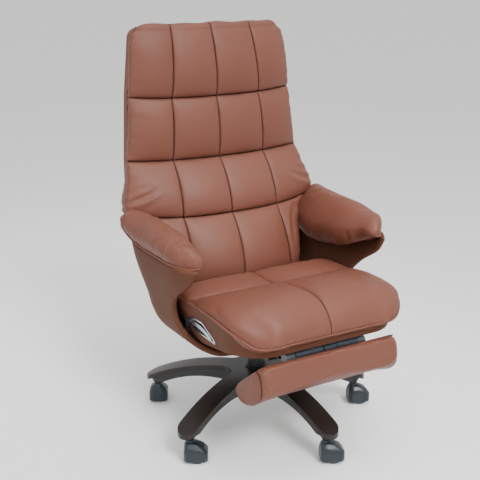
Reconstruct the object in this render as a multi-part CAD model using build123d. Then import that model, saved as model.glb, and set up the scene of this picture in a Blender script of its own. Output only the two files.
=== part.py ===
from build123d import *
import os
from math import asin, atan, atan2, cos, degrees, hypot, radians, sin, sqrt, tan

# Reclining office chair with a pull-out footrest, in millimetres and degrees.
# The origin is on the floor under the gas column. +Z is up, the chair faces -Y
# and +X is the sitter's left.

# ---- clearances ----
RUN_FIT = 0.05            # radial, shaft in bore
SEAT_GAP = 0.3            # between a piece and what carries it
FRAME_GAP = 0.4           # between a soft piece and its neighbour

# ---- five-star base ----
LEG_COUNT = 5
LEG_START = 59.5          # direction of the first leg, anticlockwise from +X
STEM_CIRCLE_R = 320.0     # the casters stand on this circle
STEM_SEAT_Z = 72.0        # underside of the leg's end boss
STEM_R = 5.5
STEM_FOOT_Z = 33.0
STEM_HEAD_Z = 96.0
STEM_BOSS_R = 20.0
STEM_BOSS_TAPER = 5.0
COVER_TIP_R = STEM_CIRCLE_R + 34.0
COVER_ARM_HALF = 32.0
COVER_CROTCH_R = 38.0
COVER_HUB_Z = 169.0       # top of the moulding round the column
COVER_MID = (210.0, 150.0)
COVER_TIP_Z = 94.0
COVER_FLAT_R = 60.0
COVER_RIM = 15.0          # depth of the turned-down rim
COVER_SKIN = 5.0
HUB_HOLE_R = 32.0
BEAM_HALF = 18.0
BEAM_WALL = 4.0
BEAM_ROOT = (36.0, 104.0)
BEAM_ARCH = (170.0, 117.0)
BEAM_FOOT_R = STEM_CIRCLE_R - 24.0
BEAM_RIBS = (120.0, 200.0)
POCKET_ROOFS = (152.0, 140.0, 116.0)   # top of the hollow between the cross ribs
HUB_R = 44.0
HUB_BOTTOM_Z = 84.0

# ---- gas column ----
TUBE_R = 25.0             # stand tube
TUBE_WALL = 1.8
TUBE_BOTTOM_Z = 74.0
TUBE_TOP_Z = 232.0
COLUMN_R = 14.0           # pressure tube
COLUMN_WALL = 2.0
COLUMN_BOTTOM_Z = 104.0
COLUMN_TOP_Z = 328.0
BUSH_LENGTH = 80.0
BUSH_LIP = 3.0
ROD_R = 5.0
ROD_TOP_Z = 214.0
PISTON_HEIGHT = 10.0
BEARING_HEIGHT = 8.0
CLIP_THICK = 1.6

# ---- casters ----
WHEEL_R = 24.0
WHEEL_WIDTH = 16.0
WHEEL_CHAMFER = 2.5
CASTER_TRAIL = 20.0
FORK_HALF = 8.0           # half the web between the two wheels
AXLE_R = 4.0
WHEEL_SIDE_GAP = 1.2
HOOD_WALL = 2.6
HOOD_TOP_Z = 61.0
# rising plan sections of the hood: z, front x, rear x, half width, corner radius
HOOD_SECTIONS = (
    (9.0, -17.0, 50.0, 28.6, 15.0),
    (34.0, -17.0, 50.0, 28.6, 15.0),
    (47.5, -15.8, 40.0, 24.5, 16.5),
    (56.5, -14.0, 26.0, 18.0, 15.0),
    (61.0, -12.0, 14.0, 12.0, 11.0),
)
HOOD_NECK_R = 12.0
HOOD_NECK_TOP_Z = 66.0
CASTER_TURNS = (-30.0, 60.0, -30.0, -25.0, -20.0)   # where each caster trails

# ---- seat mechanism ----
CHASSIS_HALF = 75.0
CHASSIS_FRONT_Y = -185.0
CHASSIS_REAR_Y = 72.0
CHASSIS_BOTTOM_Z = 252.0
CHASSIS_NOSE_Z = 272.0    # foot of the front wall
CHASSIS_TOP_Z = 338.0
CHASSIS_SHEET = 3.0
CHASSIS_LIP = 14.0        # rim turned in at the front and the rear
FLANGE_HALF = 126.0
SOCKET_R = 24.0
PIVOT_Y = -110.0          # recline pivot
PIVOT_Z = 310.0
PIVOT_R = 8.0
PIVOT_EYE_R = 19.0
BRACKET_PLATE = 6.0
BRACKET_INNER = FLANGE_HALF + 4.0
GUIDE_X = 116.5           # centre line of each footrest rail
GUIDE_HALF = 9.5
GUIDE_FRONT_Y = -312.0
GUIDE_REAR_Y = 46.0
RAIL_R = 6.0
RAIL_LENGTH = 352.0
CROSS_TUBE_Y = -340.0
CROSS_TUBE_Z = 350.0
CROSS_TUBE_R = 12.5
CROSS_TUBE_HALF = 127.0
CROSS_TUBE_WALL = 2.0

# ---- recline gas spring ----
SPRING_X = 98.0
SPRING_FOOT = (-155.0, 278.0)      # y, z of the stud on the chassis
SPRING_HEAD = (92.0, 322.0)        # y, z of the stud on the back bracket
SPRING_R = 10.0
SPRING_ROD_R = 4.0
SPRING_BODY = 150.0
SPRING_BORE_WALL = 1.5
SPRING_EYE_THICK = 10.0
STUD_R = 4.0
OPEN_PIVOT_GAP = 2.4               # play of the open pivot at the rod end

# ---- seat ----
PAN_BOTTOM_Z = 368.0
PAN_THICK = 12.0
SEAT_HALF = 272.0
SEAT_FRONT_Y = -366.0
SEAT_REAR_Y = 46.0
SEAM_Z = 446.0            # piping line along the sides
SEAM_FRONT_Z = 398.0      # piping line at the front edge
SEAT_WALL = 13.0
SEAT_TAPER = 30.0         # how far the side panels lean in at their foot
PANEL_FOOT_Z = 336.0
SEAT_CROWN = 9.0
SEAT_DRAWN = 7.0          # how deep the sewn lines are drawn in

# ---- handles in the side panels ----
HANDLE_Y = -133.0
HANDLE_Z = 390.0
HANDLE_LONG = 150.0
HANDLE_PROUD = 2.6
PADDLE_PROUD = 1.5        # above the bezel
POCKET_DEPTH = 9.0
RING = 6.0
DISH_FLOOR = 1.5
PADDLE_PIVOT = (-52.0, -13.0)      # on the handle plane
PADDLE_PIN_R = 2.2
PADDLE_SKIN = 2.0         # left over the pin's blind bore
PADDLE_ROOM = 1.5         # between the paddle and the bezel's inner edge

# ---- back ----
BACK_REAR = ((350.0, 168.0), (776.0, 278.0), (1160.0, 300.0))   # z, y of its rear face
BACK_PLY = 10.0
BACK_COVER = 8.0
COVER_RIM_WIDE = 8.0      # turned-forward edge of the rear cover
PANEL_CORNER_R = 30.0
# z and half width of the rear cover's edge
PANEL_EDGE = ((366.0, 184.0), (440.0, 216.0), (590.0, 244.0), (650.0, 288.0), (776.0, 274.0),
              (956.0, 262.0), (1144.0, 240.0))
UPRIGHT_Z = (346.0, 380.0, 560.0)   # levels of the bracket's upright
UPRIGHT_HALF = 95.0
UPRIGHT_THICK = 5.0
BOLT_HOLE_R = 4.2
BACK_CROWN = 11.0         # crown of a field at the middle of its row
BACK_SEAM_CROWN = 3.0     # what is left of it along a seam
ROW_STEPS = (-1.0, -0.8, -0.35, 0.35, 0.8, 1.0)
BACK_PUFFS = (17.0, 15.0, 7.0, 17.0)     # how far each row swells forward, from the lowest up
# along each seam: z, y at the middle, y at the sides, half width, x of the outer vertical seams
BACK_LOWER = ((426.0, 66.0, 98.0, 212.0, 150.0), (634.0, 149.0, 189.0, 238.0, 158.0))
BACK_UPPER = ((634.0, 146.0, 192.0, 322.0, 162.0), (776.0, 217.0, 246.0, 286.0, 156.0),
              (956.0, 233.0, 262.0, 274.0, 146.0), (1136.0, 268.0, 282.0, 258.0, 132.0))
BACK_TOP = ((1148.0, 279.0, 287.0, 248.0, 130.0), (1154.0, 290.0, 293.0, 228.0, 124.0))

# ---- arms ----
ARM_WALL = 16.0
ARM_BEND_Y = 62.0         # where the shell starts to curve round behind the sitter
ARM_NOSE = 84.0           # length of the nose, which turns in at the front

# ---- footrest ----
REST_HALF = 219.0
REST_LENGTH = 206.0
REST_TILT = 42.4          # how far the stowed pad hangs down from level
REST_DEPTH = 53.0
REST_EDGE_ROUND = 4.0
REST_EDGE = (-378.0, 357.0)        # y, z of the pad's front top edge
BARREL_WALL = 3.4
PLATE_THICK = 4.0
HINGE_SPANS = ((-100.0, -13.0), (33.0, 100.0))
LATCH_SPAN = (-10.0, 30.0)

SIDES = {"right": -1.0, "left": 1.0}


# ---- helpers ----
def vertical_face(outline, x=0.0):
    """A face in the plane of the chair's side view, from edges in (y, z)."""
    return Plane(origin=(x, 0, 0), x_dir=(0, 1, 0), z_dir=(1, 0, 0)) * make_face(outline)


def across(face, low, high):
    """The side-view face extruded from x = low to x = high."""
    return Pos(low, 0, 0) * extrude(face, high - low)


def bar_x(y, z, radius, low, high):
    """A round bar along X."""
    return Pos((low + high) / 2, y, z) * Rot(0, 90, 0) * Cylinder(radius, high - low)


def bar_z(x, y, radius, low, high):
    """A round bar along Z."""
    return Pos(x, y, (low + high) / 2) * Cylinder(radius, high - low)


def block(x, y, z):
    """A box between two limits on each axis."""
    size = [high - low for low, high in (x, y, z)]
    middle = [(low + high) / 2 for low, high in (x, y, z)]
    return Pos(*middle) * Box(*size)


def mirrored(side, part):
    """The part made for the sitter's left, or its mirror image for the right."""
    return part if side > 0 else part.mirror(Plane.YZ)


def leg_places(radius=0.0):
    """The location of each leg, its local X along the leg."""
    return [Rot(0, 0, LEG_START + 360 / LEG_COUNT * k) * Pos(radius, 0, 0)
            for k in range(LEG_COUNT)]


def skin(section_list):
    """A solid skinned straight from each closed section to the next."""
    return loft([Face(Wire(edges)) for edges in section_list], ruled=True)


def smoothed(rows, steps):
    """Rows of values with steps - 1 more rows between each two, on a smooth curve through them."""
    result = []
    for k in range(len(rows) - 1):
        before = rows[max(k - 1, 0)]
        start = rows[k]
        end = rows[k + 1]
        after = rows[min(k + 2, len(rows) - 1)]
        for step in range(steps):
            t = step / steps
            weights = (-t + 2 * t**2 - t**3, 2 - 5 * t**2 + 3 * t**3,
                       t + 4 * t**2 - 3 * t**3, -t**2 + t**3)
            result.append([sum(w * v for w, v in zip(weights, values)) / 2
                           for values in zip(before, start, end, after)])
    return result + [list(rows[-1])]


def between(levels, x):
    """The value at x on the straight stretches through (x, value) pairs."""
    for (x0, v0), (x1, v1) in zip(levels, levels[1:]):
        if x <= x1:
            return v0 + (v1 - v0) * (x - x0) / (x1 - x0)
    return levels[-1][1]


# ---- five-star base ----
def cover_line(drop):
    """The moulding's top line from the column to the tip, lowered by drop."""
    flat = Line((0, COVER_HUB_Z - drop), (COVER_FLAT_R, COVER_HUB_Z - drop))
    mid_r, mid_z = COVER_MID
    fall = ThreePointArc((COVER_FLAT_R, COVER_HUB_Z - drop), (mid_r, mid_z - drop),
                         (COVER_TIP_R, COVER_TIP_Z - drop))
    return flat, fall


def under_cover(drop, floor_z):
    """Everything under the moulding's top line, as a turned body."""
    flat, fall = cover_line(drop)
    side = Line((COVER_TIP_R, COVER_TIP_Z - drop), (COVER_TIP_R, floor_z))
    foot = Line((COVER_TIP_R, floor_z), (0, floor_z))
    axis = Line((0, floor_z), (0, COVER_HUB_Z - drop))
    return revolve(Plane.XZ * make_face([flat, fall, side, foot, axis]), Axis.Z)


def star_outline(inset):
    """The star's plan outline, drawn in by inset."""
    half = COVER_ARM_HALF - inset
    reach = COVER_TIP_R - inset - half
    arm = Pos(reach / 2, 0) * Rectangle(reach, 2 * half) + Pos(reach, 0) * Circle(half)
    star = Sketch()
    for place in leg_places():
        star += place * arm
    crotches = star.vertices().sort_by_distance((0, 0, 0))[:LEG_COUNT]
    return fillet(crotches, COVER_CROTCH_R + inset)


def star_cover():
    """One moulding over all five legs, with a turned-down rim."""
    outside = extrude(star_outline(0), COVER_HUB_Z + 1)
    inside = extrude(star_outline(COVER_SKIN), COVER_HUB_Z)
    shell = outside & (under_cover(0, COVER_TIP_Z - 30) - under_cover(COVER_RIM, 0))
    shell -= inside & under_cover(COVER_SKIN, 0)
    return shell - bar_z(0, 0, HUB_HOLE_R, 0, COVER_HUB_Z + 5)


def leg_beam():
    """One arched leg of the frame along +X, open below between its cross ribs."""
    root_r, root_z = BEAM_ROOT
    arch_r, arch_z = BEAM_ARCH
    end_r = STEM_CIRCLE_R
    arch = ThreePointArc((root_r, root_z), (arch_r, arch_z), (BEAM_FOOT_R, STEM_SEAT_Z + 6))
    foot = Line((BEAM_FOOT_R, STEM_SEAT_Z + 6), (end_r, STEM_SEAT_Z + 6))
    rise = Line((end_r, STEM_SEAT_Z + 6), (end_r, COVER_HUB_Z))
    top = Line((end_r, COVER_HUB_Z), (root_r, COVER_HUB_Z))
    back = Line((root_r, COVER_HUB_Z), (root_r, root_z))
    beam = extrude(Plane.XZ * make_face([arch, foot, rise, top, back]), BEAM_HALF, both=True)
    beam += bar_z(end_r, 0, STEM_BOSS_R, STEM_SEAT_Z + 12, COVER_HUB_Z)
    beam += Pos(end_r, 0, STEM_SEAT_Z + 6) * Cone(
        STEM_BOSS_R - STEM_BOSS_TAPER, STEM_BOSS_R, 12)
    pocket_ends = (HUB_R + BEAM_WALL, *BEAM_RIBS, end_r - STEM_BOSS_R - 6)
    pocket_half = BEAM_HALF - BEAM_WALL
    for near, far, roof in zip(pocket_ends, pocket_ends[1:], POCKET_ROOFS):
        beam -= block((near + BEAM_WALL, far), (-pocket_half, pocket_half), (0, roof))
    return beam


def star_frame():
    """The load-bearing star: five beams, a hub for the column and five stem sockets."""
    frame = bar_z(0, 0, HUB_R, HUB_BOTTOM_Z, COVER_HUB_Z)
    for place in leg_places():
        frame += place * leg_beam()
    frame = frame & under_cover(COVER_SKIN + SEAT_GAP, 0)
    frame += bar_z(0, 0, HUB_HOLE_R - SEAT_GAP, HUB_BOTTOM_Z, COVER_HUB_Z + 4)
    frame -= bar_z(0, 0, TUBE_R, 0, COVER_HUB_Z + 10)
    for place in leg_places(STEM_CIRCLE_R):
        frame -= place * bar_z(0, 0, STEM_R, 0, STEM_HEAD_Z)
    return frame


def caster_stems():
    """Five steel pins with a collar, pressed up into the legs."""
    stem = bar_z(0, 0, STEM_R, STEM_FOOT_Z, STEM_HEAD_Z)
    collar = bar_z(0, 0, STEM_R + 3, STEM_SEAT_Z - 3, STEM_SEAT_Z)
    return Compound(children=[place * (stem + collar)
                              for place in leg_places(STEM_CIRCLE_R)])


# ---- gas column ----
def stand_tube():
    tube = bar_z(0, 0, TUBE_R, TUBE_BOTTOM_Z, TUBE_TOP_Z)
    tube -= bar_z(0, 0, TUBE_R - TUBE_WALL, TUBE_BOTTOM_Z + TUBE_WALL, TUBE_TOP_Z + 1)
    return tube - bar_z(0, 0, ROD_R + RUN_FIT, 0, TUBE_BOTTOM_Z + 10)


def guide_bush():
    """Plastic bush that guides the pressure tube, with a lip on the stand tube's rim."""
    bush = bar_z(0, 0, TUBE_R - TUBE_WALL, TUBE_TOP_Z - BUSH_LENGTH, TUBE_TOP_Z)
    bush += bar_z(0, 0, TUBE_R, TUBE_TOP_Z, TUBE_TOP_Z + BUSH_LIP)
    return bush - bar_z(0, 0, COLUMN_R + RUN_FIT, 0, TUBE_TOP_Z + 10)


def thrust_bearing():
    """Ring at the foot of the stand tube, which the piston rod turns on."""
    low = TUBE_BOTTOM_Z + TUBE_WALL
    ring = bar_z(0, 0, ROD_R + 8, low, low + BEARING_HEIGHT)
    return ring - bar_z(0, 0, ROD_R + RUN_FIT, 0, low + BEARING_HEIGHT + 1)


def piston_rod():
    """Rod from the clip below the hub to the piston in the pressure tube."""
    shoulder_z = TUBE_BOTTOM_Z + TUBE_WALL + BEARING_HEIGHT + SEAT_GAP
    rod = bar_z(0, 0, ROD_R, TUBE_BOTTOM_Z - 6, ROD_TOP_Z)
    rod += bar_z(0, 0, ROD_R + 4, shoulder_z, shoulder_z + 4)
    piston_r = COLUMN_R - COLUMN_WALL - RUN_FIT
    rod += bar_z(0, 0, piston_r, ROD_TOP_Z, ROD_TOP_Z + PISTON_HEIGHT)
    groove = bar_z(0, 0, ROD_R + 1, TUBE_BOTTOM_Z - 2 - CLIP_THICK, TUBE_BOTTOM_Z - 2)
    return rod - (groove - bar_z(0, 0, ROD_R - 1, 0, TUBE_BOTTOM_Z))


def rod_clip():
    """Spring clip that keeps the rod in the stand tube's foot."""
    top = TUBE_BOTTOM_Z - 2
    clip = bar_z(0, 0, ROD_R + 5, top - CLIP_THICK, top)
    clip -= bar_z(0, 0, ROD_R - 1, 0, top + 1)
    return clip - block((0, 20), (-2.5, 2.5), (0, top + 1))


def pressure_tube():
    tube = bar_z(0, 0, COLUMN_R, COLUMN_BOTTOM_Z, COLUMN_TOP_Z)
    tube -= bar_z(0, 0, COLUMN_R - COLUMN_WALL, COLUMN_BOTTOM_Z + 6, COLUMN_TOP_Z - 6)
    return tube - bar_z(0, 0, ROD_R + RUN_FIT, 0, COLUMN_BOTTOM_Z + 10)


# ---- casters, modelled at the origin with the stem on Z and the wheels trailing +X ----
def hood_section(z, front, rear, half, corner_r):
    """Plan outline of the hood at one height."""
    outline = Pos((front + rear) / 2, 0, z) * RectangleRounded(rear - front, 2 * half, corner_r)
    return outline.face()


def wheel_low():
    """Inner side of each wheel, measured from the caster's middle."""
    return FORK_HALF + WHEEL_SIDE_GAP


def caster_hood():
    """Hood over both wheels with a middle web that holds the stem and the axle."""
    half = wheel_low() + WHEEL_WIDTH + WHEEL_SIDE_GAP + HOOD_WALL
    hood = loft([hood_section(*row) for row in HOOD_SECTIONS], ruled=True)
    hood += bar_z(0, 0, HOOD_NECK_R, HOOD_TOP_Z - 4, HOOD_NECK_TOP_Z)
    room_r = WHEEL_R + 1.0
    for side in (-1, 1):
        low = side * FORK_HALF
        high = side * (half - HOOD_WALL)
        middle_y = (low + high) / 2
        room = Pos(CASTER_TRAIL, middle_y, WHEEL_R) * Rot(90, 0, 0) * Cylinder(
            room_r, abs(high - low))
        hood -= room
        hood -= block((CASTER_TRAIL - room_r, CASTER_TRAIL + room_r),
                      sorted((low, high)), (0, WHEEL_R))
    hood -= bar_z(0, 0, STEM_R + RUN_FIT, STEM_FOOT_Z - 1, HOOD_NECK_TOP_Z + 1)
    axle_hole = Pos(CASTER_TRAIL, 0, WHEEL_R) * Rot(90, 0, 0) * Cylinder(AXLE_R, 2 * half)
    web = block((-60, 80), (-FORK_HALF, FORK_HALF), (0, 100))
    return hood - (axle_hole & web)


def caster_axle():
    half = wheel_low() + WHEEL_WIDTH + 0.6
    return Pos(CASTER_TRAIL, 0, WHEEL_R) * Rot(90, 0, 0) * Cylinder(AXLE_R, 2 * half)


def caster_wheel(side):
    """One of the twin wheels."""
    low = wheel_low()
    high = low + WHEEL_WIDTH
    bore = AXLE_R + RUN_FIT
    outline = Polyline((bore, low), (WHEEL_R, low), (WHEEL_R, high - WHEEL_CHAMFER),
                       (WHEEL_R - WHEEL_CHAMFER, high), (bore, high), close=True)
    wheel = revolve(Plane.XY * make_face(outline), Axis.Y)
    wheel = wheel if side > 0 else wheel.mirror(Plane.XZ)
    return Pos(CASTER_TRAIL, 0, WHEEL_R) * wheel


# ---- seat mechanism ----
def chassis():
    """Pressed steel tray with the column's socket and the spring's stud."""
    front, rear = CHASSIS_FRONT_Y, CHASSIS_REAR_Y
    rim_z = CHASSIS_TOP_Z - CHASSIS_SHEET
    side = Polyline((front, rim_z), (rear, rim_z), (rear, CHASSIS_BOTTOM_Z + 18),
                    (rear - 18, CHASSIS_BOTTOM_Z), (-CHASSIS_HALF, CHASSIS_BOTTOM_Z),
                    (front, CHASSIS_NOSE_Z), close=True)
    tray = across(vertical_face(side), -CHASSIS_HALF, CHASSIS_HALF)
    tray = fillet(tray.edges().filter_by(Axis.X).group_by(Axis.Z)[0], 10)
    hollow = offset(vertical_face(side).face(), -CHASSIS_SHEET)
    wall = CHASSIS_HALF - CHASSIS_SHEET
    tray -= across(hollow, -wall, wall)
    tray -= chassis_mouth(rim_z - 9)
    tray += bar_z(0, 0, SOCKET_R, CHASSIS_BOTTOM_Z - 8, rim_z)
    tray -= bar_z(0, 0, COLUMN_R, 0, CHASSIS_TOP_Z + 1)
    tray -= bar_x(PIVOT_Y, PIVOT_Z, PIVOT_R, -CHASSIS_HALF - 1, CHASSIS_HALF + 1)
    stud_y, stud_z = SPRING_FOOT
    stud_end = SPRING_X + SPRING_EYE_THICK / 2 + 1
    return tray + bar_x(stud_y, stud_z, STUD_R, CHASSIS_HALF - CHASSIS_SHEET, stud_end)


def chassis_mouth(low_z):
    """The open top of the tray, from low_z up."""
    wall = CHASSIS_HALF - CHASSIS_SHEET
    return block((-wall, wall), (CHASSIS_FRONT_Y + CHASSIS_LIP, CHASSIS_REAR_Y - CHASSIS_LIP),
                 (low_z, CHASSIS_TOP_Z + 1))


def mounting_plate():
    """Plate on the tray's rim that carries the seat and the footrest's channels."""
    plate = block((-FLANGE_HALF, FLANGE_HALF), (CHASSIS_FRONT_Y, CHASSIS_REAR_Y),
                  (CHASSIS_TOP_Z - CHASSIS_SHEET, CHASSIS_TOP_Z))
    plate = fillet(plate.edges().filter_by(Axis.Z), 14)
    return plate - chassis_mouth(0)


def pivot_shaft():
    end = BRACKET_INNER + BRACKET_PLATE
    return bar_x(PIVOT_Y, PIVOT_Z, PIVOT_R, -end, end)


def footrest_guides():
    """Two channels for the footrest rails, tied by two straps under the seat pan."""
    low_z = CHASSIS_TOP_Z
    high_z = PAN_BOTTOM_Z
    rail_room = RAIL_R + 0.5
    channel = block((GUIDE_X - GUIDE_HALF, GUIDE_X + GUIDE_HALF), (GUIDE_FRONT_Y, GUIDE_REAR_Y),
                    (low_z, high_z))
    channel = fillet(channel.edges().filter_by(Axis.Y), 3)
    channel -= Pos(GUIDE_X, (GUIDE_FRONT_Y + GUIDE_REAR_Y) / 2, CROSS_TUBE_Z) * Rot(
        90, 0, 0) * Cylinder(rail_room, GUIDE_REAR_Y - GUIDE_FRONT_Y + 2)
    slot_half = 2.0
    slot = block((GUIDE_X - slot_half, GUIDE_X + slot_half), (GUIDE_FRONT_Y - 1, GUIDE_REAR_Y + 1),
                 (CROSS_TUBE_Z, high_z + 1))
    channel -= slot
    pair = channel + channel.mirror(Plane.YZ)
    inner = GUIDE_X - GUIDE_HALF + 1
    for y in (CHASSIS_FRONT_Y + 2, CHASSIS_REAR_Y - 58):
        strap = block((-inner, inner), (y, y + 30), (CHASSIS_TOP_Z, CHASSIS_TOP_Z + 4))
        pair += strap - bar_z(0, 0, SOCKET_R + 2, 0, 500)
    return pair


# ---- footrest ----
def slide_rails():
    """The two rods that carry the cross tube."""
    front = CROSS_TUBE_Y + CROSS_TUBE_R - 4
    rods = []
    for side in SIDES.values():
        rod = Pos(side * GUIDE_X, front + RAIL_LENGTH / 2, CROSS_TUBE_Z) * Rot(
            90, 0, 0) * Cylinder(RAIL_R, RAIL_LENGTH)
        rods.append(rod - bar_x(CROSS_TUBE_Y, CROSS_TUBE_Z, CROSS_TUBE_R, -200, 200))
    return Compound(children=rods)


def cross_tube():
    tube = bar_x(CROSS_TUBE_Y, CROSS_TUBE_Z, CROSS_TUBE_R, -CROSS_TUBE_HALF, CROSS_TUBE_HALF)
    bore = CROSS_TUBE_HALF - 3
    return tube - bar_x(CROSS_TUBE_Y, CROSS_TUBE_Z, CROSS_TUBE_R - CROSS_TUBE_WALL, -bore, bore)


def rest_plane(x=0.0):
    """Local x runs down the stowed pad from its front top edge, local y is its padded side."""
    y, z = REST_EDGE
    tilt = radians(REST_TILT)
    down = (0, cos(tilt), -sin(tilt))
    return Plane(origin=(x, y, z), x_dir=down, z_dir=(-1, 0, 0))


def rest_extrude(outline, low, high):
    """The pad-section outline extruded from x = low to x = high."""
    return extrude(rest_plane(high) * make_face(outline), high - low)


def footrest_pad():
    """Bolster-shaped pad: sloping nose, broad face and flat ends with a soft edge."""
    corners = ((2, 0), (34, REST_DEPTH + 2), (176, REST_DEPTH + 2), (REST_LENGTH + 2, 24),
               (REST_LENGTH + 2, 0))
    outline = make_face(FilletPolyline(*corners, radius=(0, 34, 42, 16, 6), close=True))
    pad = extrude(rest_plane(REST_HALF) * outline, 2 * REST_HALF)
    ends = [edge for edge in pad.edges() if abs(abs(edge.center().X) - REST_HALF) < 0.01]
    ends = [edge for edge in ends if edge.length < REST_LENGTH - 10]
    return fillet(ends, REST_EDGE_ROUND)


def footrest_board():
    """Wrapped plywood back of the pad, tapered so that its edge tucks under the tube."""
    low = -SEAT_GAP
    outline = Polyline((14, low), (REST_LENGTH - 8, low), (REST_LENGTH - 14, -8), (158, -15),
                       (105, -13), (52, -9.2), (18, -6), close=True)
    board = rest_extrude(outline, 12 - REST_HALF, REST_HALF - 12)
    room = bar_x(CROSS_TUBE_Y, CROSS_TUBE_Z, CROSS_TUBE_R + BARREL_WALL + SEAT_GAP, -300, 300)
    return board - room


def hinge_plate(low, high):
    """Plastic hinge leaf: a barrel round the tube and a ribbed leaf on the board."""
    barrel = bar_x(CROSS_TUBE_Y, CROSS_TUBE_Z, CROSS_TUBE_R + BARREL_WALL, low, high)
    leaf = rest_extrude(Polyline((36, -9.0), (92, -12.9), (92, -12.9 - PLATE_THICK),
                                 (36, -9.0 - 3 * PLATE_THICK), close=True), low, high)
    body = barrel + leaf
    ribs = 4
    step = (high - low) / ribs
    for k in range(1, ribs):
        groove = rest_extrude(Polyline((50, -40), (84, -40), (84, -16), (50, -18.5), close=True),
                              low + k * step - 1.2, low + k * step + 1.2)
        body -= groove
    board_side = rest_extrude(Polyline((0, 2), (100, 2), (105, -13), (52, -9.2), (18, -6),
                                       close=True), low - 1, high + 1)
    return body - board_side - bar_x(CROSS_TUBE_Y, CROSS_TUBE_Z, CROSS_TUBE_R + RUN_FIT, -300, 300)


def latch_frame():
    """Small pull frame between the two hinge leaves."""
    low, high = LATCH_SPAN
    ring = bar_x(CROSS_TUBE_Y, CROSS_TUBE_Z, CROSS_TUBE_R + BARREL_WALL + 0.8, low, high)
    ring -= bar_x(CROSS_TUBE_Y, CROSS_TUBE_Z, CROSS_TUBE_R + RUN_FIT, -300, 300)
    bezel = 5.0
    window = rest_extrude(Polyline((10, -60), (52, -60), (52, -22), (10, -22), close=True),
                          low + bezel, high - bezel)
    core = bar_x(CROSS_TUBE_Y, CROSS_TUBE_Z, CROSS_TUBE_R + BARREL_WALL - 1, -300, 300)
    board_side = rest_extrude(Polyline((0, 5), (100, 5), (105, -13), (52, -9.2), (18, -6),
                                       close=True), low - 1, high + 1)
    return ring - (window - core) - board_side


# ---- seat ----
def seat_plan(half, front_y, rear_y, z, corner_r, rear_r):
    """Closed plan outline of the seat at one height."""
    width = 2 * half
    depth = rear_y - front_y
    outline = Rectangle(width, depth)
    front = outline.vertices().group_by(Axis.Y)[0]
    rear = outline.vertices().group_by(Axis.Y)[-1]
    outline = fillet(front, corner_r)
    outline = fillet(outline.vertices().group_by(Axis.Y)[-1], rear_r)
    return Pos(0, (front_y + rear_y) / 2, z) * outline


def seat_taper(inset, grow_up):
    """Tapered body between the panel's foot and the top of the piping, inset from outside."""
    foot_z = PANEL_FOOT_Z - 6
    top_z = SEAM_Z + grow_up
    slope = SEAT_TAPER / (SEAM_Z - PANEL_FOOT_Z)
    top_half = SEAT_HALF + slope * grow_up - inset
    foot_half = SEAT_HALF - slope * (SEAM_Z - foot_z) - inset
    front_lean = 0.6
    foot_front = SEAT_FRONT_Y + front_lean * slope * (SEAM_Z - foot_z) + inset
    low = seat_plan(foot_half, foot_front, SEAT_REAR_Y + 20 - inset, foot_z, 95 - inset, 34)
    high = seat_plan(top_half, SEAT_FRONT_Y - front_lean * slope * grow_up + inset,
                     SEAT_REAR_Y + 20 - inset, top_z, 95 - inset, 34)
    return loft([low.face(), high.face()])


def seam_curve():
    """The piping line in the side view, from the rear to the front."""
    return [Line((SEAT_REAR_Y + 40, SEAM_Z), (-250, SEAM_Z)),
            ThreePointArc((-250, SEAM_Z), (-322, 431), (SEAT_FRONT_Y + 8, SEAM_FRONT_Z + 4)),
            Line((SEAT_FRONT_Y + 8, SEAM_FRONT_Z + 4), (SEAT_FRONT_Y - 30, SEAM_FRONT_Z - 6))]


def below_seam(drop):
    """Everything below the piping line."""
    drop_by = Pos(0, -drop)
    rim = [drop_by * edge for edge in seam_curve()]
    start = rim[0] @ 0
    end = rim[-1] @ 1
    skirt = Polyline((end.X, end.Y), (end.X, 300), (start.X, 300), (start.X, start.Y))
    return across(vertical_face([*rim, *skirt.edges()]), -400, 400)


def panel_outline():
    """Side view of the wrapped side panel: rounded rear end, rising lower edge."""
    top = SEAM_Z + 30
    rear = ThreePointArc((16, SEAM_Z), (4, 394), (-44, 357))
    heel = ThreePointArc((-44, 357), (-76, 342), (-130, PANEL_FOOT_Z + 2))
    sole = Line((-130, PANEL_FOOT_Z + 2), (-300, PAN_BOTTOM_Z))
    toe = Line((-300, PAN_BOTTOM_Z), (SEAT_FRONT_Y - 30, PAN_BOTTOM_Z))
    lid = Polyline((SEAT_FRONT_Y - 30, PAN_BOTTOM_Z), (SEAT_FRONT_Y - 30, top), (16, top),
                   (16, SEAM_Z))
    return across(vertical_face([rear, heel, sole, toe, *lid.edges()]), -400, 400)


def handle_plane():
    """Plane on the sitter's left panel: x rearward, y up the panel, z outward."""
    lean = atan(SEAT_TAPER / (SEAM_Z - PANEL_FOOT_Z))
    x = SEAT_HALF - (SEAM_Z - HANDLE_Z) * tan(lean)
    return Plane(origin=(x, HANDLE_Y, HANDLE_Z), x_dir=(0, 1, 0), z_dir=(cos(lean), 0, -sin(lean)))


def leaf(inset):
    """Leaf-shaped handle outline, wide at its rear end, drawn in by inset."""
    rear = HANDLE_LONG / 2
    corners = ((rear + 3, -6), (rear - 9, 10), (26, 23), (-24, 27), (-rear, -14),
               (-rear + 6, -25), (38, -24))
    outline = make_face(FilletPolyline(*corners, radius=(9, 9, 60, 22, 7, 5, 50), close=True))
    return offset(outline, -inset) if inset else outline


def handle_pocket():
    return extrude(handle_plane() * leaf(RING / 2), -POCKET_DEPTH)


def seat_fascia():
    """Leather-wrapped panel round the front and both sides of the seat."""
    body = seat_taper(0, 4) - seat_taper(SEAT_WALL, 6)
    body = body & below_seam(0) & panel_outline()
    return body - handle_pocket() - handle_pocket().mirror(Plane.YZ)


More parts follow.
